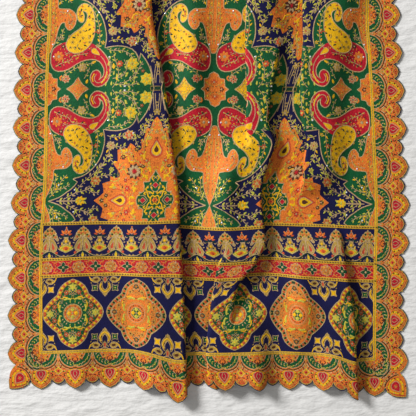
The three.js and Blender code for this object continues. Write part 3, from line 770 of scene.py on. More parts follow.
    # the stem and its scroll
    d.cord("gold", [(3, 88), (4, 120), (4, 160), (4, 200)], 1.6)
    sprinkle(d, STEM, 7.2, ("gold", "rust", "cream", "yellow", "lime", "brown"), 4.2)
    sprinkle(d, HEART, 7.0, ("rust", "gold", "cream", "brown", "lime"), 4.0)
    sprinkle(d, [(44, 0), (62, 18), (80, 0), (62, -18)], 7.0, ("gold", "rust", "cream"), 3.6)
    vine(d, [(9, 92), (11, 112), (11, 140), (10, 168), (5, 204)], 8, 5.5, ("rust", "lime", "yellow"), "gold")
    vine(d, [(20, 152), (32, 151), (43, 146), (46, 136), (41, 127), (38, 134)], 6, 5,
         ("gold", "lime", "rust"))
    vine(d, [(3, 6), (12, 8), (18, 14)], 6, 5, ("rust", "lime", "yellow"), "gold")
    flower(d, 0, 14, 6, 6, "rust", "cream")
    flower(d, 14, 0, 5, 6, "brown", "cream")
    vine(d, [(44, 0), (54, 4), (62, 16)], 5, 4.5, ("rust", "lime", "gold"), "gold")
    vine(d, [(80, 0), (70, 5), (64, 14)], 5, 4.5, ("rust", "lime", "gold"), "gold")
    # green ground inside the paisleys
    vine(d, [(28, 16), (34, 28), (52, 38), (74, 48), (92, 50)], 7.5, 6, ("lime", "lime", "gold"))
    flower(d, 38, 20, 6.5, 7, "rust", "brown", rim="cream")
    flower(d, 70, 42, 7, 6, "cream", "gold", rim="gold")
    d.leaf("yellow", 88, 50, 30, 10, 4.5)
    d.leaf("yellow", 78, 10, 70, 10, 5)
    d.cord("orange", [(30, 26), (26, 22), (29, 17)], 3)
    vine(d, [(74, 20), (80, 30), (84, 42)], 7, 5)
    # green ground between the stem and the yellow paisley, and round its head
    vine(d, [(10, 86), (20, 98), (27, 110), (30, 120)], 7, 6)
    flower(d, 27, 100, 4.5, 5, "cream", "gold")
    vine(d, [(10, 214), (20, 204), (28, 192), (34, 180), (44, 170)], 7, 7, ("lime", "yellow", "lime"))
    vine(d, [(8, 208), (20, 196), (20, 182), (24, 168)], 7, 7, BRIGHT)
    vine(d, [(24, 200), (38, 196), (50, 188)], 7, 6)
    vine(d, [(94, 78), (102, 88), (103, 102), (102, 118), (98, 134), (92, 148), (82, 164)], 8, 7, BRIGHT)
    flower(d, 100, 112, 5, 6, "rust", "cream")
    flower(d, 110, 90, 4, 5, "yellow", "cream")
    # the round leaf between the red paisleys' curls
    vine(d, [(118, 78), (132, 74), (150, 74), (166, 66), (174, 54)], 7, 7)
    vine(d, [(132, 2), (142, 16), (144, 34), (138, 52), (132, 66)], 8, 7, BRIGHT)
    vine(d, [(150, 10), (166, 16), (178, 26), (184, 40), (190, 52)], 8, 7)
    vine(d, [(132, 20), (152, 24), (160, 40), (154, 56)], 8, 7)
    vine(d, [(140, 9), (154, 7), (168, 6), (184, 11)], 7, 6.5, ("lime", "cream"))
    vine(d, [(119, 20), (127, 32), (128, 48), (122, 62)], 7, 6, ("lime", "cream"))
    vine(d, [(166, 40), (174, 34), (178, 22), (174, 14)], 6.5, 6)
    for x, y in ((117, 5), (129, 6), (134, 26), (122, 44)):
        d.leaf("lime", x, y, 84, 9, 4)
    flower(d, 146, 48, 6.5, 7, "rust", "cream")
    for x, y in ((170, 48), (200, 18)):
        flower(d, x, y, 10, 7, "yellow", "gold", rim="lime")
    d.leaf("yellow", 134, 38, 96, 12, 6)
    d.leaf("lime", 158, 22, 60, 10, 4)
    d.leaf("lime", 142, 20, 100, 10, 4)
    flower(d, 192, 34, 3.6, 5, "rust", "cream")
    # navy ground: the vine from the waist round the star, and the one on the star's own line
    vine(d, [(24, 222), (44, 221), (66, 222), (82, 222)], 6.5, 8, ("lime", "lime", "lime", "cream"),
         width=1.5)
    flower(d, 72, 222, 9, 8, "yellow", "lime")
    vine(d, [(40, 218), (62, 206), (84, 200), (98, 188), (104, 168), (116, 146), (126, 128)], 7.5, 8,
         width=1.5)
    flower(d, 100, 182, 8, 7, "rust", "cream", rim="gold")
    vine(d, [(60, 208), (70, 192), (84, 178), (96, 168), (112, 150)], 8, 7)
    vine(d, [(104, 174), (116, 172), (130, 170), (138, 172)], 7, 7, width=1.3)
    vine(d, [(86, 200), (96, 206), (108, 206)], 6, 7, width=1.3)
    d.leaf("forest", 132, 171, 0, 12, 6)
    vine(d, [(124, 104), (126, 122), (130, 140), (140, 150)], 7.5, 8, BRIGHT, width=1.3)
    vine(d, [(122, 92), (134, 96), (150, 94), (166, 92), (180, 86)], 7.5, 8, BRIGHT, width=1.3)
    flower(d, 130, 112, 7, 7, "gold", "rust", rim="cream")
    flower(d, 168, 92, 8, 7, "rust", "cream", rim="cream")
    vine(d, [(134, 116), (144, 114), (154, 116), (162, 112)], 7, 8, width=1.3)
    vine(d, [(172, 96), (182, 104), (188, 122)], 7, 6)
    vine(d, [(186, 84), (196, 74), (206, 60)], 7, 7, BRIGHT)
    vine(d, [(196, 92), (198, 80), (208, 72)], 7, 6)
    vine(d, [(174, 100), (188, 93), (200, 81), (208, 66), (213, 50)], 5.5, 6, ("lime", "cream", "lime"))
    vine(d, [(190, 108), (202, 98), (211, 84), (217, 66)], 6, 5, ("lime", "cream"), width=1.1)
    vine(d, [(146, 128), (156, 124), (168, 124), (176, 130)], 6.5, 6)
    for x0, x1 in ((218, 221), (214.5, 216), (211.8, 206)):
        d.cord("cream", [(x0, 10), (x0, 20), (x1, 44)], 1.3)
    d.fill("forest", [(208, -4, 1), (208, 4, 1), (236, 4, 1), (236, -4, 1)], "gold", 1.0)
    flower(d, 222, 47, 7, 6, "gold", "cream")
    for x, y in ((222, 34), (222, 28)):
        flower(d, x, y, 2.6, 5, "gold", "cream")
    for x, y in ((9, 88), (12, 64), (36, 154), (158, 4), (124, 62), (100, 150), (176, 88), (28, 190),
                 (60, 200)):
        d.stitch("crystal", ring(x, y, 1.7, count=6), 1.3)
    return d


field_quarter = draw_field(0, QUARTER)
field_slice = draw_field(QUARTER - (FIRST_STAR_ROW - SEAM_STEPS[3]), QUARTER)
print("one quarter repeat:", len(field_quarter.fills), "fills,", len(field_quarter.cords), "cords,",
      len(field_quarter.stitches), "stitches")

# %% Where the quarters go
LAST_STAR_ROW = FIRST_STAR_ROW + 8 * QUARTER
CENTRE_LINE = FIELD_LEFT + 2 * QUARTER
columns = [  # where the quarter starts, which way it faces, and the diamond's colour in it
    (FIELD_LEFT, 1, "orange"), (CENTRE_LINE, -1, "yellow"), (CENTRE_LINE, 1, "yellow"),
    (FIELD_RIGHT, -1, "orange")]
rows = [(FIRST_STAR_ROW - QUARTER, 1, field_slice)]
for centre in range(FIRST_STAR_ROW + QUARTER, LAST_STAR_ROW, 2 * QUARTER):
    rows += [(centre, -1, field_quarter), (centre, 1, field_quarter)]
rows += [(LAST_STAR_ROW + QUARTER, -1, field_slice)]
placements = [(drawing, np.array([[dx, 0], [0, dy]]), np.array([x, y]), diamond)
              for y, dy, drawing in rows for x, dx, diamond in columns]


# %% Repeating drawings over a panel
def repeat(placements, steps=LATTICE):
    """All fills of a panel: flat places, faces, colours."""
    cuts, flats, faces, colours, base = {}, [], [], [], 0
    for drawing, turn, origin, swap in placements:
        if id(drawing) not in cuts:
            cuts[id(drawing)] = cut_out(drawing, steps)
        flat, tris, paint = cuts[id(drawing)]
        if np.linalg.det(turn) < 0:
            tris = tris[:, ::-1]
        flats.append(flat @ turn.T + origin)
        faces.append(tris + base)
        if swap:
            paint = np.where(paint == THREADS.index("diamond"), THREADS.index(swap), paint)
        colours.append(paint)
        base += len(flat)
    return np.vstack(flats), np.vstack(faces), np.concatenate(colours)


# %% [markdown]
# ## Cords and stitches
#
# The outlines of the motifs are couched cords, and the leaves and petals are satin stitches that stand a
# little proud of the cloth. Both are drawn flat with the motifs, laid on the cloth in the same way, and
# joined into one mesh of cords and one of stitches for each panel.

# %% Needlework within a panel
def clipped(drawing):
    """A drawing's cords cut off at its outline, and the stitches whose middles lie in it."""
    cords, stitches = [], []
    for colour, width, path in drawing.cords:
        kept = inside(drawing.outline, path).astype(int)
        turns = np.flatnonzero(np.diff(np.concatenate([[0], kept, [0]])))
        for begin, end in zip(turns[::2], turns[1::2]):
            run = list(path[begin:end])
            for outer, first in ((begin - 1, True), (end, False)):
                if 0 <= outer < len(path):
                    near, beyond = (run[0] if first else run[-1]), path[outer]
                    for _ in range(9):
                        half = (near + beyond) / 2
                        if inside(drawing.outline, half[None])[0]:
                            near = half
                        else:
                            beyond = half
                    run = [beyond, *run] if first else [*run, beyond]
            if len(run) > 1:
                cords.append((colour, width, np.array(run)))
    middle = drawing.outline.mean(axis=0)
    for colour, height, shape in drawing.stitches:
        centre = shape.mean(axis=0)
        if inside(drawing.outline, (centre + (middle - centre) * 1e-4)[None])[0]:
            stitches.append((colour, height, shape, centre))
    return cords, stitches


STRIP_WIDTH, STRIP_RISE = 1.35, 0.2  # up to this width a cord is a flat strip, and over it a ridge
RIDGE_FOOT, RIDGE_RISE, RISE_PER_WIDTH, WIDEST_RISE = 0.02, 0.12, 0.22, 3
STITCH_FOOT, FOOT_SHARE, STITCH_RISE = 0.04, 0.3, 0.25


# %% The needlework of a panel as one mesh
def raised(points, rise):
    """Flat places with one height in a third column."""
    return np.hstack([points, np.full((len(points), 1), rise)])


def laid_work(name, placements, above=FACE_RISE, only=None):
    """The cords or stitches of a panel, or both, as one object. Those on a mirror line are laid once."""
    flats, faces, colours, seen, cut, base = [], [], [], set(), {}, 0
    corners = np.vstack([drawing.outline @ turn.T + origin for drawing, turn, origin, _ in placements])
    lowest, highest = corners.min(axis=0), corners.max(axis=0)
    for drawing, turn, origin, _ in placements:
        if id(drawing) not in cut:
            cut[id(drawing)] = clipped(drawing)
        cords, stitches = cut[id(drawing)]
        cords, stitches = ([] if only == "stitches" else cords), ([] if only == "cords" else stitches)
        pieces = []
        for colour, width, path in cords:
            laid = path @ turn.T + origin
            key = (colour, len(laid), *np.round(laid.mean(axis=0), 1),
                   *np.round(np.abs(laid[-1] - laid[0]), 1))
            if key in seen:
                continue
            seen.add(key)
            n, i = len(laid), np.arange(len(laid) - 1)
            along = np.gradient(laid, axis=0)
            along /= np.maximum(np.linalg.norm(along, axis=1, keepdims=True), 1e-9)
            across = np.stack([-along[:, 1], along[:, 0]], axis=1) * width / 2
            if width > STRIP_WIDTH:
                crest = RIDGE_RISE + RISE_PER_WIDTH * min(width, WIDEST_RISE)
                flat = np.vstack([raised(laid + across, RIDGE_FOOT), raised(laid, crest),
                                  raised(laid - across, RIDGE_FOOT)])
                tris = ((i, n + i, n + i + 1), (i, n + i + 1, i + 1),
                        (n + i, 2 * n + i, 2 * n + i + 1), (n + i, 2 * n + i + 1, n + i + 1))
            else:
                flat = np.vstack([raised(laid + across, STRIP_RISE), raised(laid - across, STRIP_RISE)])
                tris = ((i, n + i, n + i + 1), (i, n + i + 1, i + 1))
            pieces.append((flat, np.vstack([np.stack(t, axis=1) for t in tris]), colour))
        for colour, height, shape, centre in stitches:
            laid, middle = shape @ turn.T + origin, centre @ turn.T + origin
            key = (colour, *np.round(middle, 1), len(shape))
            if key in seen:
                continue
            seen.add(key)
            n, i = len(laid), np.arange(len(laid))
            sweep = np.cross(laid[1] - laid[0], laid[2] - laid[0])
            laid = np.clip(laid, lowest, highest)  # a stitch over the panel's edge ends at the edge
            flat = np.vstack([raised(laid, STITCH_FOOT + FOOT_SHARE * height),
                              [[*middle, STITCH_RISE + height]]])
            tris = np.stack([np.full(n, n), i, (i + 1) % n], axis=1)
            pieces.append((flat, tris if sweep > 0 else tris[:, ::-1], colour))
        for flat, tris, colour in pieces:
            flats.append(flat)
            faces.append(tris + base)
            colours.append(np.full(len(tris), THREADS.index(colour)))
            base += len(flat)
    return laid_object(name, np.vstack(flats), np.vstack(faces), np.concatenate(colours), height=above,
                       weld=False)


# %% A whole panel in place of its CAD node
def panel(node, placements, steps=LATTICE):
    """A panel's patterned cloth with its needlework, in place of its CAD node."""
    cloth = laid_object(node + "_cloth", *repeat(placements, steps))
    work = [laid_work(node + "_" + kind, placements, only=kind) for kind in ("cords", "stitches")]
    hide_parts(node)


panel("field", placements)

# %% [markdown]
# ## The medallion bands
#
# Seven pointed medallions, green and orange by turns, each with a rim of satin beads. An ornament with four
# small squares stands between two of them, from the top edge and from the bottom edge.

# %% Helpers for the medallions
BAND_QUARTER = FIELD_WIDTH / 14
BEAD = ((-0.5, -0.32), (0, -0.5), (0.5, -0.32), (0.5, 0.32), (0, 0.5), (-0.5, 0.32))  # along, across


def back_from(line, points):
    """Points measured back from a line, in the drawing's own measure."""
    return [(line - u, *rest) for u, *rest in points]


def bead_rim(d, path, colours, gap, length, width):
    """Short satin stitches set side by side along a path."""
    path = curve(path, closed=False, step=0.5)
    travelled = np.concatenate([[0], np.cumsum(np.hypot(*np.diff(path, axis=0).T))])
    count = max(1, round(travelled[-1] / gap))
    for k in range(count):
        i = min(np.searchsorted(travelled, (k + 0.5) * travelled[-1] / count), len(path) - 1)
        along = path[i] - path[i - 1]
        along /= np.hypot(*along)
        across = np.array([-along[1], along[0]])
        d.stitch(colours[k % len(colours)],
                 [path[i] + along * u * length + across * w * width for u, w in BEAD], 0.6)


# %% A quarter of a medallion
def draw_medallion(kind, squares):
    """A quarter of a medallion, with half of the ornament that stands beside it."""
    b, half = BAND_QUARTER, MEDALLION_BAND / 2
    d = Drawing([(0, 0), (b, 0), (b, half), (0, half)], "navy")
    outer = [(60.5, 0, 1), (58, 9), (50, 20), (40, 30), (31, 37, 1), (27, 48), (20, 57), (10, 63.5),
             (0, 67.5, 1)]
    middle = [(56.5, 0), (53, 9), (46, 18.5), (36, 27.5), (27.5, 34), (24, 44.5), (18, 53.5), (9, 60.5),
              (0, 63.8)]
    inner = [(52, 0, 1), (49, 8), (42, 17), (32, 25), (24, 30.5, 1), (21, 41), (16, 50), (8, 57), (0, 60, 1)]
    green = kind == "green"
    d.fill("gold", [(62, -3, 1)] + outer + [(-3, 67.5, 1), (-3, -3, 1)], "cream", 1.3)
    d.fill(kind, [(52, -3, 1)] + inner + [(-3, 60, 1), (-3, -3, 1)], "brown" if green else "cream", 1.2)
    bead_rim(d, middle, ("rust", "yellow") if green else ("forest", "rust"), 4.7, 4.0, 5.6)
    d.fill("gold" if green else "orange", ring(0, 0, 18.5, count=28), "cream", 1.0, smooth=False)
    d.fill("orange" if green else "green", ring(0, 0, 11, count=20), "cream", 1.0, smooth=False)
    for k in range(6):
        a = math.radians(7.5 + 15 * k)
        d.stitch((("rust", "orange") if green else ("brown", "rust"))[k % 2],
                 ring(14.8 * math.cos(a), 14.8 * math.sin(a), 2.1 if green else 1.5, count=6))
    if green:
        for spread in (12, 31, 45, 59, 78):
            a = math.radians(spread)
            d.leaf("cream" if spread % 2 else "lime", 20.5 * math.cos(a), 20.5 * math.sin(a), spread,
                   5.4, 2.2)
    else:
        d.cord("gold", [(22 * math.cos(a), 22 * math.sin(a)) for a in np.linspace(0, math.pi / 2, 9)], 1.2)
    for x, y in ((7, 0), (0, 7)):
        d.stitch("yellow" if x else "lime", ring(x, y, 3.9, 4, 0.12, count=8), 0.8)
    d.stitch("cream", ring(0, 0, 2, count=6), 1.0)
    d.leaf("gold", 4, 4, 45, 6, 3)
    for x, y in ((0, 52), (45, 0)):
        if green:
            d.stitch("lime", ring(x, y, 6.8, 6, 0.26, math.pi / 2, count=24), 0.7)
            d.stitch("yellow", ring(x, y, 2.6, count=6), 1.1)
        else:
            d.fill("green", ring(x, y, 5.4, count=14), "cream", 1.0, smooth=False)
            flower(d, x, y, 3.6, 5, "rust", "lime")
    for x, y in ((20, 44), (40, 19), (6, 46), (46, 7), (33, 22), (24, 30), (8, 55), (48, 4)):
        d.stitch(("cream", "rust", "gold")[int(x) % 3], ring(x, y, 1.5, count=5), 0.6)
    for x, y in ((12.5, 41), (36, 13.5)):
        flower(d, x, y, 5, 6, *(("rust", "cream") if green else ("gold", "brown")))
    for bar in (((3, 26.5), (9, 29), (17, 27)), ((24, 3), (26.5, 9), (24.5, 17))):
        d.cord("lime", bar, 3.6)
    d.cord("yellow", ((10, 31), (17, 32), (20, 29)), 2.4)
    d.cord("yellow", ((28, 11), (29, 18), (27, 22)), 2.4)
    for pts in (((0, 22), (0, 34), (6, 40), (12, 46)), ((22, 0), (30, 0), (36, 7), (42, 10)),
                ((0, 38), (5, 46), (9, 52)), ((34, 0), (42, 5), (47, 8)), ((20, 20), (26, 26)),
                ((20, 22), (18, 34), (14, 36)), ((22, 20), (32, 19), (34, 20))):
        vine(d, pts, 5, 4, ("yellow", "cream", "rust") if green else ("forest", "gold", "brown"),
             "cream" if green else "gold", 0.9)
    # the ornament beside it
    d.fill("gold", back_from(b, [(-1, 31, 1), (0, 31, 1), (4, 37), (9, 42), (12, 50), (9, 58), (5, 62, 1),
                                 (6, 54), (4.5, 48), (0, 43, 1), (-1, 43, 1)]), "cream", 1.1)
    d.cord("yellow", back_from(b, [(0, 39), (6, 43), (9, 50), (7, 57)]), 2.2)
    d.cord("brown", back_from(b, [(5.6, 47), (8, 52), (6.5, 59)]), 1.2)
    x, y = b - 20, 48
    square = [(x - 6, y - 6, 1), (x, y - 4.4), (x + 6, y - 6, 1), (x + 4.4, y), (x + 6, y + 6, 1),
              (x, y + 4.4), (x - 6, y + 6, 1), (x - 4.4, y)]
    d.fill(squares, square, "cream", 1.4)
    if squares == "green":
        d.stitch("lime", ring(x, y, 1.6, count=6))
    d.fill("gold", back_from(b, [(9, 64, 1), (15, 59), (22, 59), (27, 63), (30, 69, 1), (25, 66), (22, 69),
                                 (14, 70)]), "cream", 1.2)
    d.fill("brown", back_from(b, [(13, 65), (18, 62), (22, 64), (18, 67)]), None)
    d.cord("yellow", back_from(b, [(31, 71), (28, 64), (23, 61)]), 2.0)
    d.fill("rust", back_from(b, [(2.6, 60, 1), (-2.6, 60, 1), (-2.6, 70, 1), (2.6, 70, 1)]), "cream", 1.0)
    d.cord("cream", back_from(b, [(36, 74), (28, 72), (8, 72), (0, 68)]), 1.2)
    d.cord("gold", back_from(b, [(0, 57), (4, 64), (8, 68)]), 1.4)
    for u, w in ((26, 56), (13, 55), (4, 33), (33, 72)):
        d.leaf("gold", b - u, w, 120 if u > 10 else 60, 4.5, 2.2)
    return d


# %% The two medallion bands
medallions = {(kind, squares): draw_medallion(kind, squares) for kind in ("green", "orange")
              for squares in ("yellow", "green")}
spots = []
for k in range(7):
    kind = ("green", "orange")[k % 2]
    middle = np.array([FIELD_LEFT + (2 * k + 1) * BAND_QUARTER, SEAM_STEPS[0] + MEDALLION_BAND / 2])
    for side, boundary in ((-1, k), (1, k + 1)):
        squares = ("yellow", "green")[boundary % 2]
        for up in (-1, 1):
            spots.append((medallions[kind, squares], np.diag([side, up]), middle, None))


def far(spots):
    """The same placements at the far end of the cloth, turned end for end."""
    return [(d, np.array([[1, 0], [0, -1]]) @ turn, np.array([origin[0], CLOTH_LENGTH - origin[1]]), swap)
            for d, turn, origin, swap in spots]


panel("near_medallion_band", spots)
panel("far_medallion_band", far(spots))

# %% [markdown]
# ## The red bands and the bands of standing flowers
#
# The red band has round rosettes and cross flowers by turns. The wider navy band above it has a row of
# flowers that stand on a garland: two mango leaves under a crown, and a tiered one.

# %% One repeat of the red band
def draw_red():
    """One repeat of the red band: a round rosette and a cross flower."""
    p, y = BAND_QUARTER, RED_BAND / 2
    d = Drawing([(0, 0), (p, 0), (p, RED_BAND), (0, RED_BAND)], "red")
    for x in (11, 11 + p):
        d.fill("orange", ring(x, y, 12, 8, 0.1, squash=0.82, count=32), "cream", 1.2, smooth=False)
        flower(d, x, y, 6, 8, "rust", "cream", rim="gold")
        for k in range(8):
            a = math.pi * k / 4 + 0.4
            d.stitch(("brown", "cream", "yellow")[k % 3],
                     ring(x + 8.6 * math.cos(a), y + 7 * math.sin(a), 1.3, count=5))
    x = 11 + p / 2 + 2
    d.fill("forest", [(x - 13, y, 1), (x - 6, 12.5), (x - 3.4, 13.4, 1), (x - 3.6, 9), (x, 5.5, 1),
                      (x + 3.6, 9), (x + 3.4, 13.4, 1), (x + 6, 12.5), (x + 13, y, 1), (x + 6, 20.5),
                      (x + 3.4, 19.6, 1), (x + 3.6, 24), (x, 27.5, 1), (x - 3.6, 24), (x - 3.4, 19.6, 1),
                      (x - 6, 20.5)], "cream", 1.2)
    for turn in range(4):
        d.leaf("green", x, y, 90 * turn, 9 if turn % 2 == 0 else 7, 3)
    d.stitch("cream", ring(x, y, 2.4, count=6), 1.0)
    for pts in (((22, 5), (28, 8), (34, 5), (40, 7)), ((22, 28), (28, 25), (34, 28), (40, 26)),
                ((50, 6), (56, 9), (62, 5)), ((50, 27), (56, 24), (62, 28)), ((24, 16), (28, 13), (31, 17)),
                ((54, 13), (58, 17), (60, 14)), ((0, 4), (8, 3), (16, 4)), ((0, 29), (8, 30), (16, 29))):
        vine(d, pts, 4.0, 4.6, ("orange", "cream", "gold"), "orange", 1.5)
    return d


# %% The two red bands
RED_LATTICE = (5.55, 6)
red_repeat = draw_red()
red_spots = [(red_repeat, np.eye(2), np.array([FIELD_LEFT + k * BAND_QUARTER, SEAM_STEPS[1]]), None)
             for k in range(14)]
panel("near_red_band", red_spots, RED_LATTICE)
panel("far_red_band", far(red_spots), RED_LATTICE)

# %% Standing flowers
HALF_STEP = FIELD_WIDTH / 27


def draw_flowers(wide):
    """Half of a pair of standing flowers: the mango flower at x = 0 and the tiered one at HALF_STEP."""
    h = HALF_STEP
    d = Drawing([(0, 0), (wide, 0), (wide, BUTA_BAND), (0, BUTA_BAND)], "navy")
    d.fill("gold", [(-1, 66, 1), (0, 66, 1), (1.8, 62.4), (5.4, 61.4), (7, 58.4, 1), (10, 57), (11, 54, 1),
                    (13.2, 52), (13.6, 48, 1), (15.4, 46), (16, 42.6, 1), (18.4, 39), (16.6, 36),
                    (13, 38.4, 1), (10, 41.5), (6, 41), (-1, 40, 1)], "cream", 1.1)
    d.leaf("cream", 12.5, 44, 300, 8, 3.2)
    d.fill("gold", [(0.6, 45, 1), (7, 41), (11, 35), (14.4, 29), (15.6, 23), (13.4, 16.8), (8.8, 14),
                    (4, 15.4), (0.8, 22), (0.6, 34)], "cream", 1.3)
    d.fill("rust", [(5, 35, 1), (9, 28.5), (11.6, 22.5), (9.6, 18.4), (5.8, 19), (4.2, 26)], "cream", 1.3)
    for k, (x, y) in enumerate(((0, 59), (4.5, 57), (8.5, 53.5), (12, 49), (4, 51), (8, 47.5), (0, 53.5),
                                (3.5, 45.5), (11.5, 44))):
        d.stitch(("rust", "forest", "orange", "cream")[k % 4], ring(x, y, 2.0, 4, 0.15, count=8), 0.7)
    d.cord("forest", [(0, 15.5), (5, 14), (12, 9), (20, 4.5), (h, 3)], 2.4)
    d.cord("cream", [(0, 17), (6, 15.5), (13, 10.5), (21, 6), (h, 4.6)], 1.5)
    d.fill("yellow", [(-1, 3, 1), (1.8, 4), (2.4, 8), (0, 13, 1), (-1, 13, 1)], "lime", 1.0)
    d.cord("cream", [(0, 3.4), (4, 3), (7, 6), (5, 8)], 1.0)
    d.stitch("rust", ring(14.5, 12.5, 2.8, count=8), 0.8)
    d.cord("gold", [(14.5, 10), (12, 7), (15, 5)], 1.0)
    # the tiered flower
    d.fill("lime", back_from(h, [(-1, 12.5, 1), (0, 12.5, 1), (7, 16), (13, 19), (17, 24, 1), (13, 23.5),
                                 (12, 27, 1), (8, 27), (6, 31), (-1, 31, 1)]), "cream", 1.2)
    d.fill("orange", back_from(h, [(-1, 16, 1), (0, 16), (6, 19), (6, 23), (0, 26, 1), (-1, 26, 1)]),
           "yellow", 1.0)
    d.stitch("rust", ring(h, 21, 3.2, count=8), 0.9)
    d.fill("gold", back_from(h, [(-1, 30, 1), (7, 30), (9.5, 34, 1), (5, 34), (4, 38), (3, 43),
                                 (-1, 43, 1)]), "cream", 1.1)
    for k, (x, y) in enumerate(((4, 32), (8, 30), (3, 28), (11, 26), (14, 23), (9, 22), (5, 36))):
        d.stitch(("forest", "yellow", "cream", "rust")[k % 4], ring(h - x, y, 1.7, count=6), 0.6)
    d.stitch("yellow", ring(h, 35, 2.6, count=8), 0.8)
    d.cord("cream", back_from(h, [(0, 42), (6, 44), (11, 41), (13.5, 44)]), 1.3)
    d.cord("forest", back_from(h, [(0, 45), (5, 47), (9, 46), (11, 49)]), 1.6)
    d.leaf("cream", h - 13, 33, 200, 5, 2.4)
    d.cord("gold", [(h, 42), (h, 50)], 1.8)
    d.fill("rust", back_from(h, [(-1, 48.5, 1), (0, 48.5, 1), (3.6, 51.5), (4, 55.4), (1.6, 59),
                                 (0, 62.5, 1), (-1, 62.5, 1)]), "cream", 1.0)
    d.leaf("orange", h - 3, 50, 132, 10, 5)
    d.leaf("rust", h - 4, 48, 165, 8, 3.6)
    d.leaf("forest", h - 4, 44.5, 195, 7, 2.8)
    d.stitch("orange", ring(h, 54, 2.2, count=6), 0.9)
    d.stitch("orange", ring(h, 63, 1.6, count=6), 0.8)
    d.cord("gold", [(h, 2), (h, 13)], 2.0)
    d.leaf("gold", h - 1, 5, 150, 6, 2.6)
    return d


# %% The two bands of standing flowers
flowers, end_flower = draw_flowers(HALF_STEP), draw_flowers(HALF_STEP / 2)
first, last = FIELD_LEFT + HALF_STEP / 2, FIELD_RIGHT - HALF_STEP / 2
flower_spots = [(end_flower, np.diag([side, 1]), np.array([x, SEAM_STEPS[2]]), None)
                for side, x in ((-1, first), (1, last))]
for k in range(26):
    side, stand = (1, k) if k % 2 == 0 else (-1, k + 1)
    foot = np.array([first + stand * HALF_STEP, SEAM_STEPS[2]])
    flower_spots.append((flowers, np.diag([side, 1]), foot, None))
panel("near_buta_band", flower_spots)
panel("far_buta_band", far(flower_spots))

# %% [markdown]
# ## The border
#
# Each broad scallop carries a red drop in a yellow frame, each narrow one a small yellow diamond, and a
# garland of green leaves swings between the narrow ones. The dark cloth of the back shows as a fine line
# round the edge.

# %% Places along the border
EDGE_MARGIN = 1.6
DRAWN_PITCH, DRAWN_DEPTH = 66.4, 72  # of the border in which the motifs below are measured
SIDE_LATTICE = (7, 9)


def along_hem(x, y):
    """A place on the hem's border, with x along the run and y in from the edge."""
    return x, y


def along_side(x, y):
    """The same place on the left side's border."""
    return y, x


def along_right_side(x, y):
    """The same place on the right side's border."""
    return CLOTH_WIDTH - y, x


# %% Helpers for the border's motifs
def motif_place(turn, x, pitch, deep):
    """What carries a motif's own measure to the cut, for a scallop with its middle at x."""
    across, down = pitch / DRAWN_PITCH, deep / DRAWN_DEPTH
    return lambda u, w: turn(x + u * across, w * down)


def mirrored(half):
    """An even-sided outline from its left side, which ends with a point on the middle line."""
    return half + [(-u, *rest) for u, *rest in half[-2::-1] if u]


def fill_all(drawing, at, shapes):
    """Fills in a motif's own measure: colour, outline, edge, width of the edge."""
    for colour, points, edge, width in shapes:
        drawing.fill(colour, [(*at(u, w), *corner) for u, w, *corner in points], edge, width)


GARLAND = [
    ("green", mirrored([(-31.5, 73, 1), (-31, 64), (-27, 54), (-18, 46), (-7, 43), (0, 46.5, 1)]),
     "cream", 1.3)]
DROP = [
    ("orange", mirrored([(-20, 73, 1), (-18.5, 66), (-13, 58), (-6, 53.6), (0, 51, 1)]), "cream", 1.1),
    ("yellow", mirrored([(0, 8.5, 1), (-9, 14.5), (-15, 23), (-16.5, 32), (-10, 38.5), (0, 40)]),
     "rust", 1.0),
    ("orange", mirrored([(0, 13.5, 1), (-6, 18.5), (-11, 26), (-11.6, 32.5), (-7, 37.6), (0, 39)]),
     None, 1.0),
    ("red", mirrored([(0, 16.5, 1), (-5, 22.5), (-8.6, 29.5), (-7.6, 35.6), (0, 37.4)]), "cream", 1.3)]

# %% Motifs of the scallops
SMALL_DIAMOND = [
    ("yellow", mirrored([(0, 45, 1), (-9, 35.5, 1), (0, 27, 1)]), "cream", 1.1),
    ("orange", mirrored([(0, 41, 1), (-5, 35.5, 1), (0, 30.5, 1)]), "gold", 0.9),
    ("rust", mirrored([(0, 24, 1), (-5, 20), (-7, 15), (0, 12.5, 1)]), "gold", 1.0)]
CORNER_DROP = [
    ("yellow", [(8, 6, 1), (8, 20), (11, 33), (20, 40), (30, 38), (37, 31), (41, 21), (36, 12), (22, 8)],
     "rust", 1.0),
    ("orange", [(12, 10, 1), (12, 21), (15, 31), (22, 36), (29, 34), (34, 28), (37, 20), (32, 14), (22, 11)],
     None, 1.0),
    ("red", [(16, 13, 1), (15.5, 22), (18, 30), (24, 33), (30, 30), (33, 23), (30, 17)], "cream", 1.3)]


# %% The narrow scallop
def border_small(d, turn, x, pitch, deep):
    """What stands on the narrow scallop, its middle at x."""
    at = motif_place(turn, x, pitch, deep)
    fill_all(d, at, SMALL_DIAMOND)
    d.stitch("red", ring(*at(0, 35.5), 2.2, count=8), 0.8)
    flower(d, *at(0, 18), 3.2, 5, "orange", "brown")
    for u, w, c in ((9, 24, "red"), (11.5, 29, "brown"), (10, 40, "rust"), (13, 35, "lime"), (6, 45, "brown"),
                    (9.5, 19, "gold"), (5, 26, "brown")):
        for side in (-1, 1):
            d.stitch(c, ring(*at(side * u, w), 1.5, count=6), 0.6)
    for w, r, c in ((10.5, 1.5, "brown"), (62, 1.6, "cream"), (54, 1.6, "rust"), (49, 1.6, "gold")):
        d.stitch(c, ring(*at(0, w), r, count=6), 0.6)
    d.cord("gold", [at(0, 72), at(0, 50)], 1.4)


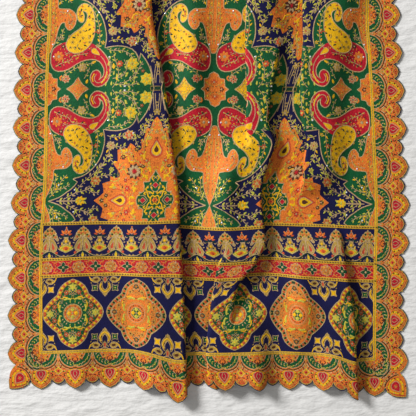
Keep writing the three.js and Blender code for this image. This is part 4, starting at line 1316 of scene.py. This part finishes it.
# %% The broad scallop
SCALLOP_CORDS = (
    ("forest", 2.0, ((31, 57), (26.5, 48.4), (17, 42), (7, 39.4), (0, 42))),
    ("cream", 1.6, ((32, 53.6), (27.6, 45.4), (18.4, 39.4), (11, 37.4))),
    ("brown", 2.0, ((0, 50), (3.4, 54), (5.4, 58), (2.6, 60))),
    ("gold", 1.1, ((0, 62), (4, 66), (9, 63), (12, 67))),
    ("gold", 1.1, ((18.5, 36), (18, 26), (12.5, 15.5), (5, 8), (0, 5))),
    ("lime", 1.4, ((12, 61), (8, 59), (9, 64))),
    ("cream", 1.0, ((1.2, 35), (3.6, 31), (2.6, 26), (0, 22))))


def border_broad(d, turn, x, pitch, deep):
    """The needlework of a broad scallop, its middle at x."""
    at = motif_place(turn, x, pitch, deep)
    for side in (-1, 1):
        for k in range(6):  # paired leaves along the garland
            a = math.radians(6 + 15 * k)
            u, w = side * 25.4 * math.cos(a), 71 - 23.8 * math.sin(a)
            end = at(u + side * 2.4 * math.cos(a + 1.2), w - 2.4 * math.sin(a + 1.2))
            px, py = at(u, w)
            angle = math.degrees(math.atan2(end[1] - py, end[0] - px))
            d.leaf(("cream", "lime", "gold")[k % 3], px, py, angle, 5.4, 2.6)
            d.leaf(("gold", "cream", "lime")[k % 3], px, py, angle + 96, 4.6, 2.2)
        for colour, width, points in SCALLOP_CORDS:
            d.cord(colour, [at(side * u, w) for u, w in points], width)
        for u, w, c in ((13.8, 32, "brown"), (13.2, 27, "lime"), (12.2, 22.4, "brown"), (9.6, 18.6, "lime"),
                        (7, 15.6, "brown"), (3.2, 12.4, "lime"), (19.5, 31, "red"), (16, 19, "rust"),
                        (10, 11, "rust"), (10, 57, "brown"), (14, 68, "cream"), (20, 40, "rust"),
                        (22.5, 34, "forest"), (14, 58, "rust"), (6, 69, "yellow"), (12.6, 63.4, "forest"),
                        (22, 14, "brown"), (17.4, 13, "gold"), (24.6, 21, "gold"), (21, 26, "brown"),
                        (29, 42, "brown"), (32, 47, "gold"), (28, 47.6, "cream"), (31, 27, "rust"),
                        (24, 42.4, "gold")):
            d.stitch(c, ring(*at(side * u, w), 1.7, count=5), 0.6)
    flower(d, *at(0, 64), 3.6, 6, "rust", "cream")
    (x0, y0), (x1, y1) = at(0, 49), at(0, 57)
    d.leaf("brown", x0, y0, math.degrees(math.atan2(y1 - y0, x1 - x0)), 8, 4)
    d.stitch("gold", ring(*at(0, 44), 1.8, count=6), 0.6)
    d.stitch("orange", ring(*at(0, 6.4), 2.2, 3, 0.2, count=9), 0.7)


# %% A run of border
def draw_border(outline, turn, start, pitch, deep, repeats, corners=()):
    """A whole run of border, with the last scallop of the sides where the run turns a corner."""
    d = Drawing(outline, "navy")
    ground = np.array([turn(*p) for p in outline], float)
    inset = np.where(ground[:, 1] < deep - 1, EDGE_MARGIN, 0)
    inset = inset + np.where(ground[:, 1] < 20, ground[:, 1] ** 2 / 90, 0)
    ground[:, 1] += inset
    d.fill("orange", np.array([turn(*p) for p in ground]), None, smooth=False)
    rim = np.array([turn(*p) for p in ground[inset > 0]])
    d.cords.append(("gold", 1.8, thinned(rim)))
    rim = ground[inset > 0] + [0, 2.6]
    d.cords.append(("rust", 1.3, thinned(np.array([turn(*p) for p in rim]))))
    broad = [(turn, start + k * pitch, pitch, deep) for k in range(repeats + 1)]
    broad += [(at_corner, END_BORDER, SIDE_PITCH, SIDE_BORDER) for at_corner in corners]
    for shapes in (GARLAND, DROP):
        for scallop_at in broad:
            fill_all(d, motif_place(*scallop_at), shapes)
    for scallop_at in broad:
        border_broad(d, *scallop_at)
    for k in range(repeats):
        border_small(d, turn, start + (k + 0.5) * pitch, pitch, deep)
    return d


# %% The four borders
hem = draw_border([(0, END_BORDER), *near_edge, (CLOTH_WIDTH, END_BORDER)], along_hem, SIDE_BORDER, END_PITCH,
                  END_BORDER, END_REPEATS, (along_side, along_right_side))
side = draw_border([(SIDE_BORDER, END_BORDER), *left_edge, (SIDE_BORDER, CLOTH_LENGTH - END_BORDER)],
                   along_side, END_BORDER, SIDE_PITCH, SIDE_BORDER, SIDE_REPEATS)
for mirror in (1, -1):  # the corners' diagonal drops
    at = lambda u, w: (u if mirror == 1 else CLOTH_WIDTH - u, w)
    fill_all(hem, at, CORNER_DROP)
    flower(hem, *at(24, 23), 4, 6, "orange", "cream")
    flower(hem, *at(55, 62), 5, 6, "forest", "cream")
    hem.cord("forest", [at(19, 46), at(32, 41), at(41, 32), at(46, 20)], 2.0)
    hem.cord("cream", [at(21, 48), at(34, 43), at(43, 34), at(48, 22)], 1.4)
    for k, (u, w) in enumerate(((10, 14), (10, 27), (16, 36), (26, 38), (34, 34), (39, 26), (38, 16),
                                (27, 10), (16, 9), (6, 36), (12, 44), (28, 45), (38, 41), (46, 30), (30, 5),
                                (5, 24), (40, 11))):
        hem.stitch(("brown", "lime", "rust")[k % 3], ring(*at(u, w), 1.6, count=6), 0.6)
hem_spot = [(hem, np.eye(2), np.zeros(2), None)]
panel("near_border", hem_spot)
panel("far_border", far(hem_spot))
panel("left_border", [(side, np.eye(2), np.zeros(2), None)], SIDE_LATTICE)
panel("right_border", [(side, np.diag([-1, 1]), np.array([CLOTH_WIDTH, 0]), None)],
      SIDE_LATTICE)

# %% [markdown]
# ## Braids over the seams
#
# A gold braid covers each cross seam: a flat tape with short slanted stitches on it, and with brown dots on
# all but the hem's. The side seams have two yellow cords with a gold one between them.

# %% The braids
BRAID_RISE = 0.6  # over the middle of the wall
TAPE_WIDTH, BRAID_STEP, HALF_STITCH = 6.4, 5.5, 2.7
BRAID_DOT = ((-1.2, -0.9), (0.8, -1.5), (1.2, 0.9), (-0.8, 1.5))


def draw_braids():
    """The braids of all the seams, on the whole cut."""
    d = Drawing([(-1, -1), (CLOTH_WIDTH + 1, -1), (CLOTH_WIDTH + 1, CLOTH_LENGTH + 1),
                 (-1, CLOTH_LENGTH + 1)], "gold")
    for seam in SEAM_STEPS:
        for v in (seam, CLOTH_LENGTH - seam):
            x = np.arange(FIELD_LEFT - 1, FIELD_RIGHT + 2, 5.0)
            d.cords.append(("gold", TAPE_WIDTH, np.stack([x, np.full(len(x), float(v))], axis=1)))
            for x in np.arange(FIELD_LEFT, FIELD_RIGHT, BRAID_STEP):
                for up in (-1, 1):
                    d.stitch("yellow", [(x + c * HALF_STITCH, v + up * 1.6 + w) for c, w in (
                        (-1, -0.9 * up), (1, 0.1 * up), (1, 1.3 * up), (-1, 0.5 * up))], 0.9)
                if seam != SEAM_STEPS[0]:
                    d.stitch("brown", [(x + HALF_STITCH + c, v + w) for c, w in BRAID_DOT], 1.9)
    for x in (FIELD_LEFT, FIELD_RIGHT):
        for shift, colour, width in ((-1.9, "yellow", 2.0), (1.9, "yellow", 2.0), (0, "gold", 2.2)):
            v = np.arange(END_BORDER - 1, CLOTH_LENGTH - END_BORDER + 2, 8.0)
            d.cords.append((colour, width, np.stack([np.full(len(v), x + shift), v], axis=1)))
    return d


# %% Laying the braids
braids = laid_work("seam_braids", [(draw_braids(), np.eye(2), np.zeros(2), None)], above=BRAID_RISE)

# %% [markdown]
# ## Floor, light and camera
#
# The camera looks straight down at one end of the cloth. The key light stands low at the upper left, so
# that the folds shade each other, and a weak one fills the shadows from the lower right.

# %% The pale floor
floor = bpy.data.objects.new("floor", bpy.data.meshes.new("floor"))
FLOOR_HALF = 6
floor_corners = [(x * FLOOR_HALF, y * FLOOR_HALF, 0) for x, y in ((-1, -1), (1, -1), (1, 1), (-1, 1))]
floor.data.from_pydata(floor_corners, [], [(0, 1, 2, 3)])
bpy.context.collection.objects.link(floor)
floor.location.z = -0.0005
pale = bpy.data.materials.new("pale floor")
pale.use_nodes = True
pale_shader = pale.node_tree.nodes["Principled BSDF"]
pale_shader.inputs["Base Color"].default_value = (0.90, 0.89, 0.87, 1)
pale_shader.inputs["Roughness"].default_value = 0.95
where = add(pale.node_tree, "TexCoord")
stretched = add(pale.node_tree, "Mapping", [("Vector", where.outputs["Object"])])
stretched.inputs["Scale"].default_value = (24, 60, 40)
pile = add(pale.node_tree, "TexNoise", [("Vector", stretched.outputs[0])], Scale=1.0, Detail=4.0)
soft_pile = add(pale.node_tree, "Bump", [("Height", pile.outputs["Fac"])], Strength=0.4, Distance=0.012)
pale.node_tree.links.new(soft_pile.outputs["Normal"], pale_shader.inputs["Normal"])
floor.data.materials.append(pale)

# %% The camera
FRAME_HEIGHT = 0.8207  # height of the picture, measured on the floor
PICTURE_TOP = 769  # distance along the cut that lies at the picture's top edge
CAMERA_HEIGHT = 2.4
SENSOR = 36
camera = bpy.data.objects.new("camera", bpy.data.cameras.new("camera"))
bpy.context.collection.objects.link(camera)
camera.data.sensor_fit = "HORIZONTAL"
camera.data.sensor_width = SENSOR
camera.data.lens = SENSOR * CAMERA_HEIGHT / FRAME_HEIGHT
camera.location = (0.0, (PICTURE_TOP - MIDDLE) * MM - FRAME_HEIGHT / 2, CAMERA_HEIGHT)
bpy.context.scene.camera = camera


# %% Lights and room
def area_light(name, place_at, aim, size, power):
    """A square soft light at place_at, turned towards aim."""
    lamp = bpy.data.lights.new(name, "AREA")
    lamp.size, lamp.energy = size, power
    thing = bpy.data.objects.new(name, lamp)
    thing.location = place_at
    thing.rotation_euler = (Vector(aim) - Vector(place_at)).to_track_quat("-Z", "Y").to_euler()
    bpy.context.collection.objects.link(thing)


near_end = camera.location.y
area_light("key", (-4.6, near_end + 3.0, 2.9), (0, near_end, 0), 1.6, 505)
area_light("fill", (3.6, near_end - 2.8, 5.6), (0, near_end, 0), 5.0, 14)
world = bpy.data.worlds.new("room")
world.use_nodes = True
world.node_tree.nodes["Background"].inputs["Color"].default_value = (1, 0.98, 0.95, 1)
world.node_tree.nodes["Background"].inputs["Strength"].default_value = 0.23
bpy.context.scene.world = world
bpy.context.scene.view_settings.view_transform = "Standard"
print("camera at", tuple(camera.location))
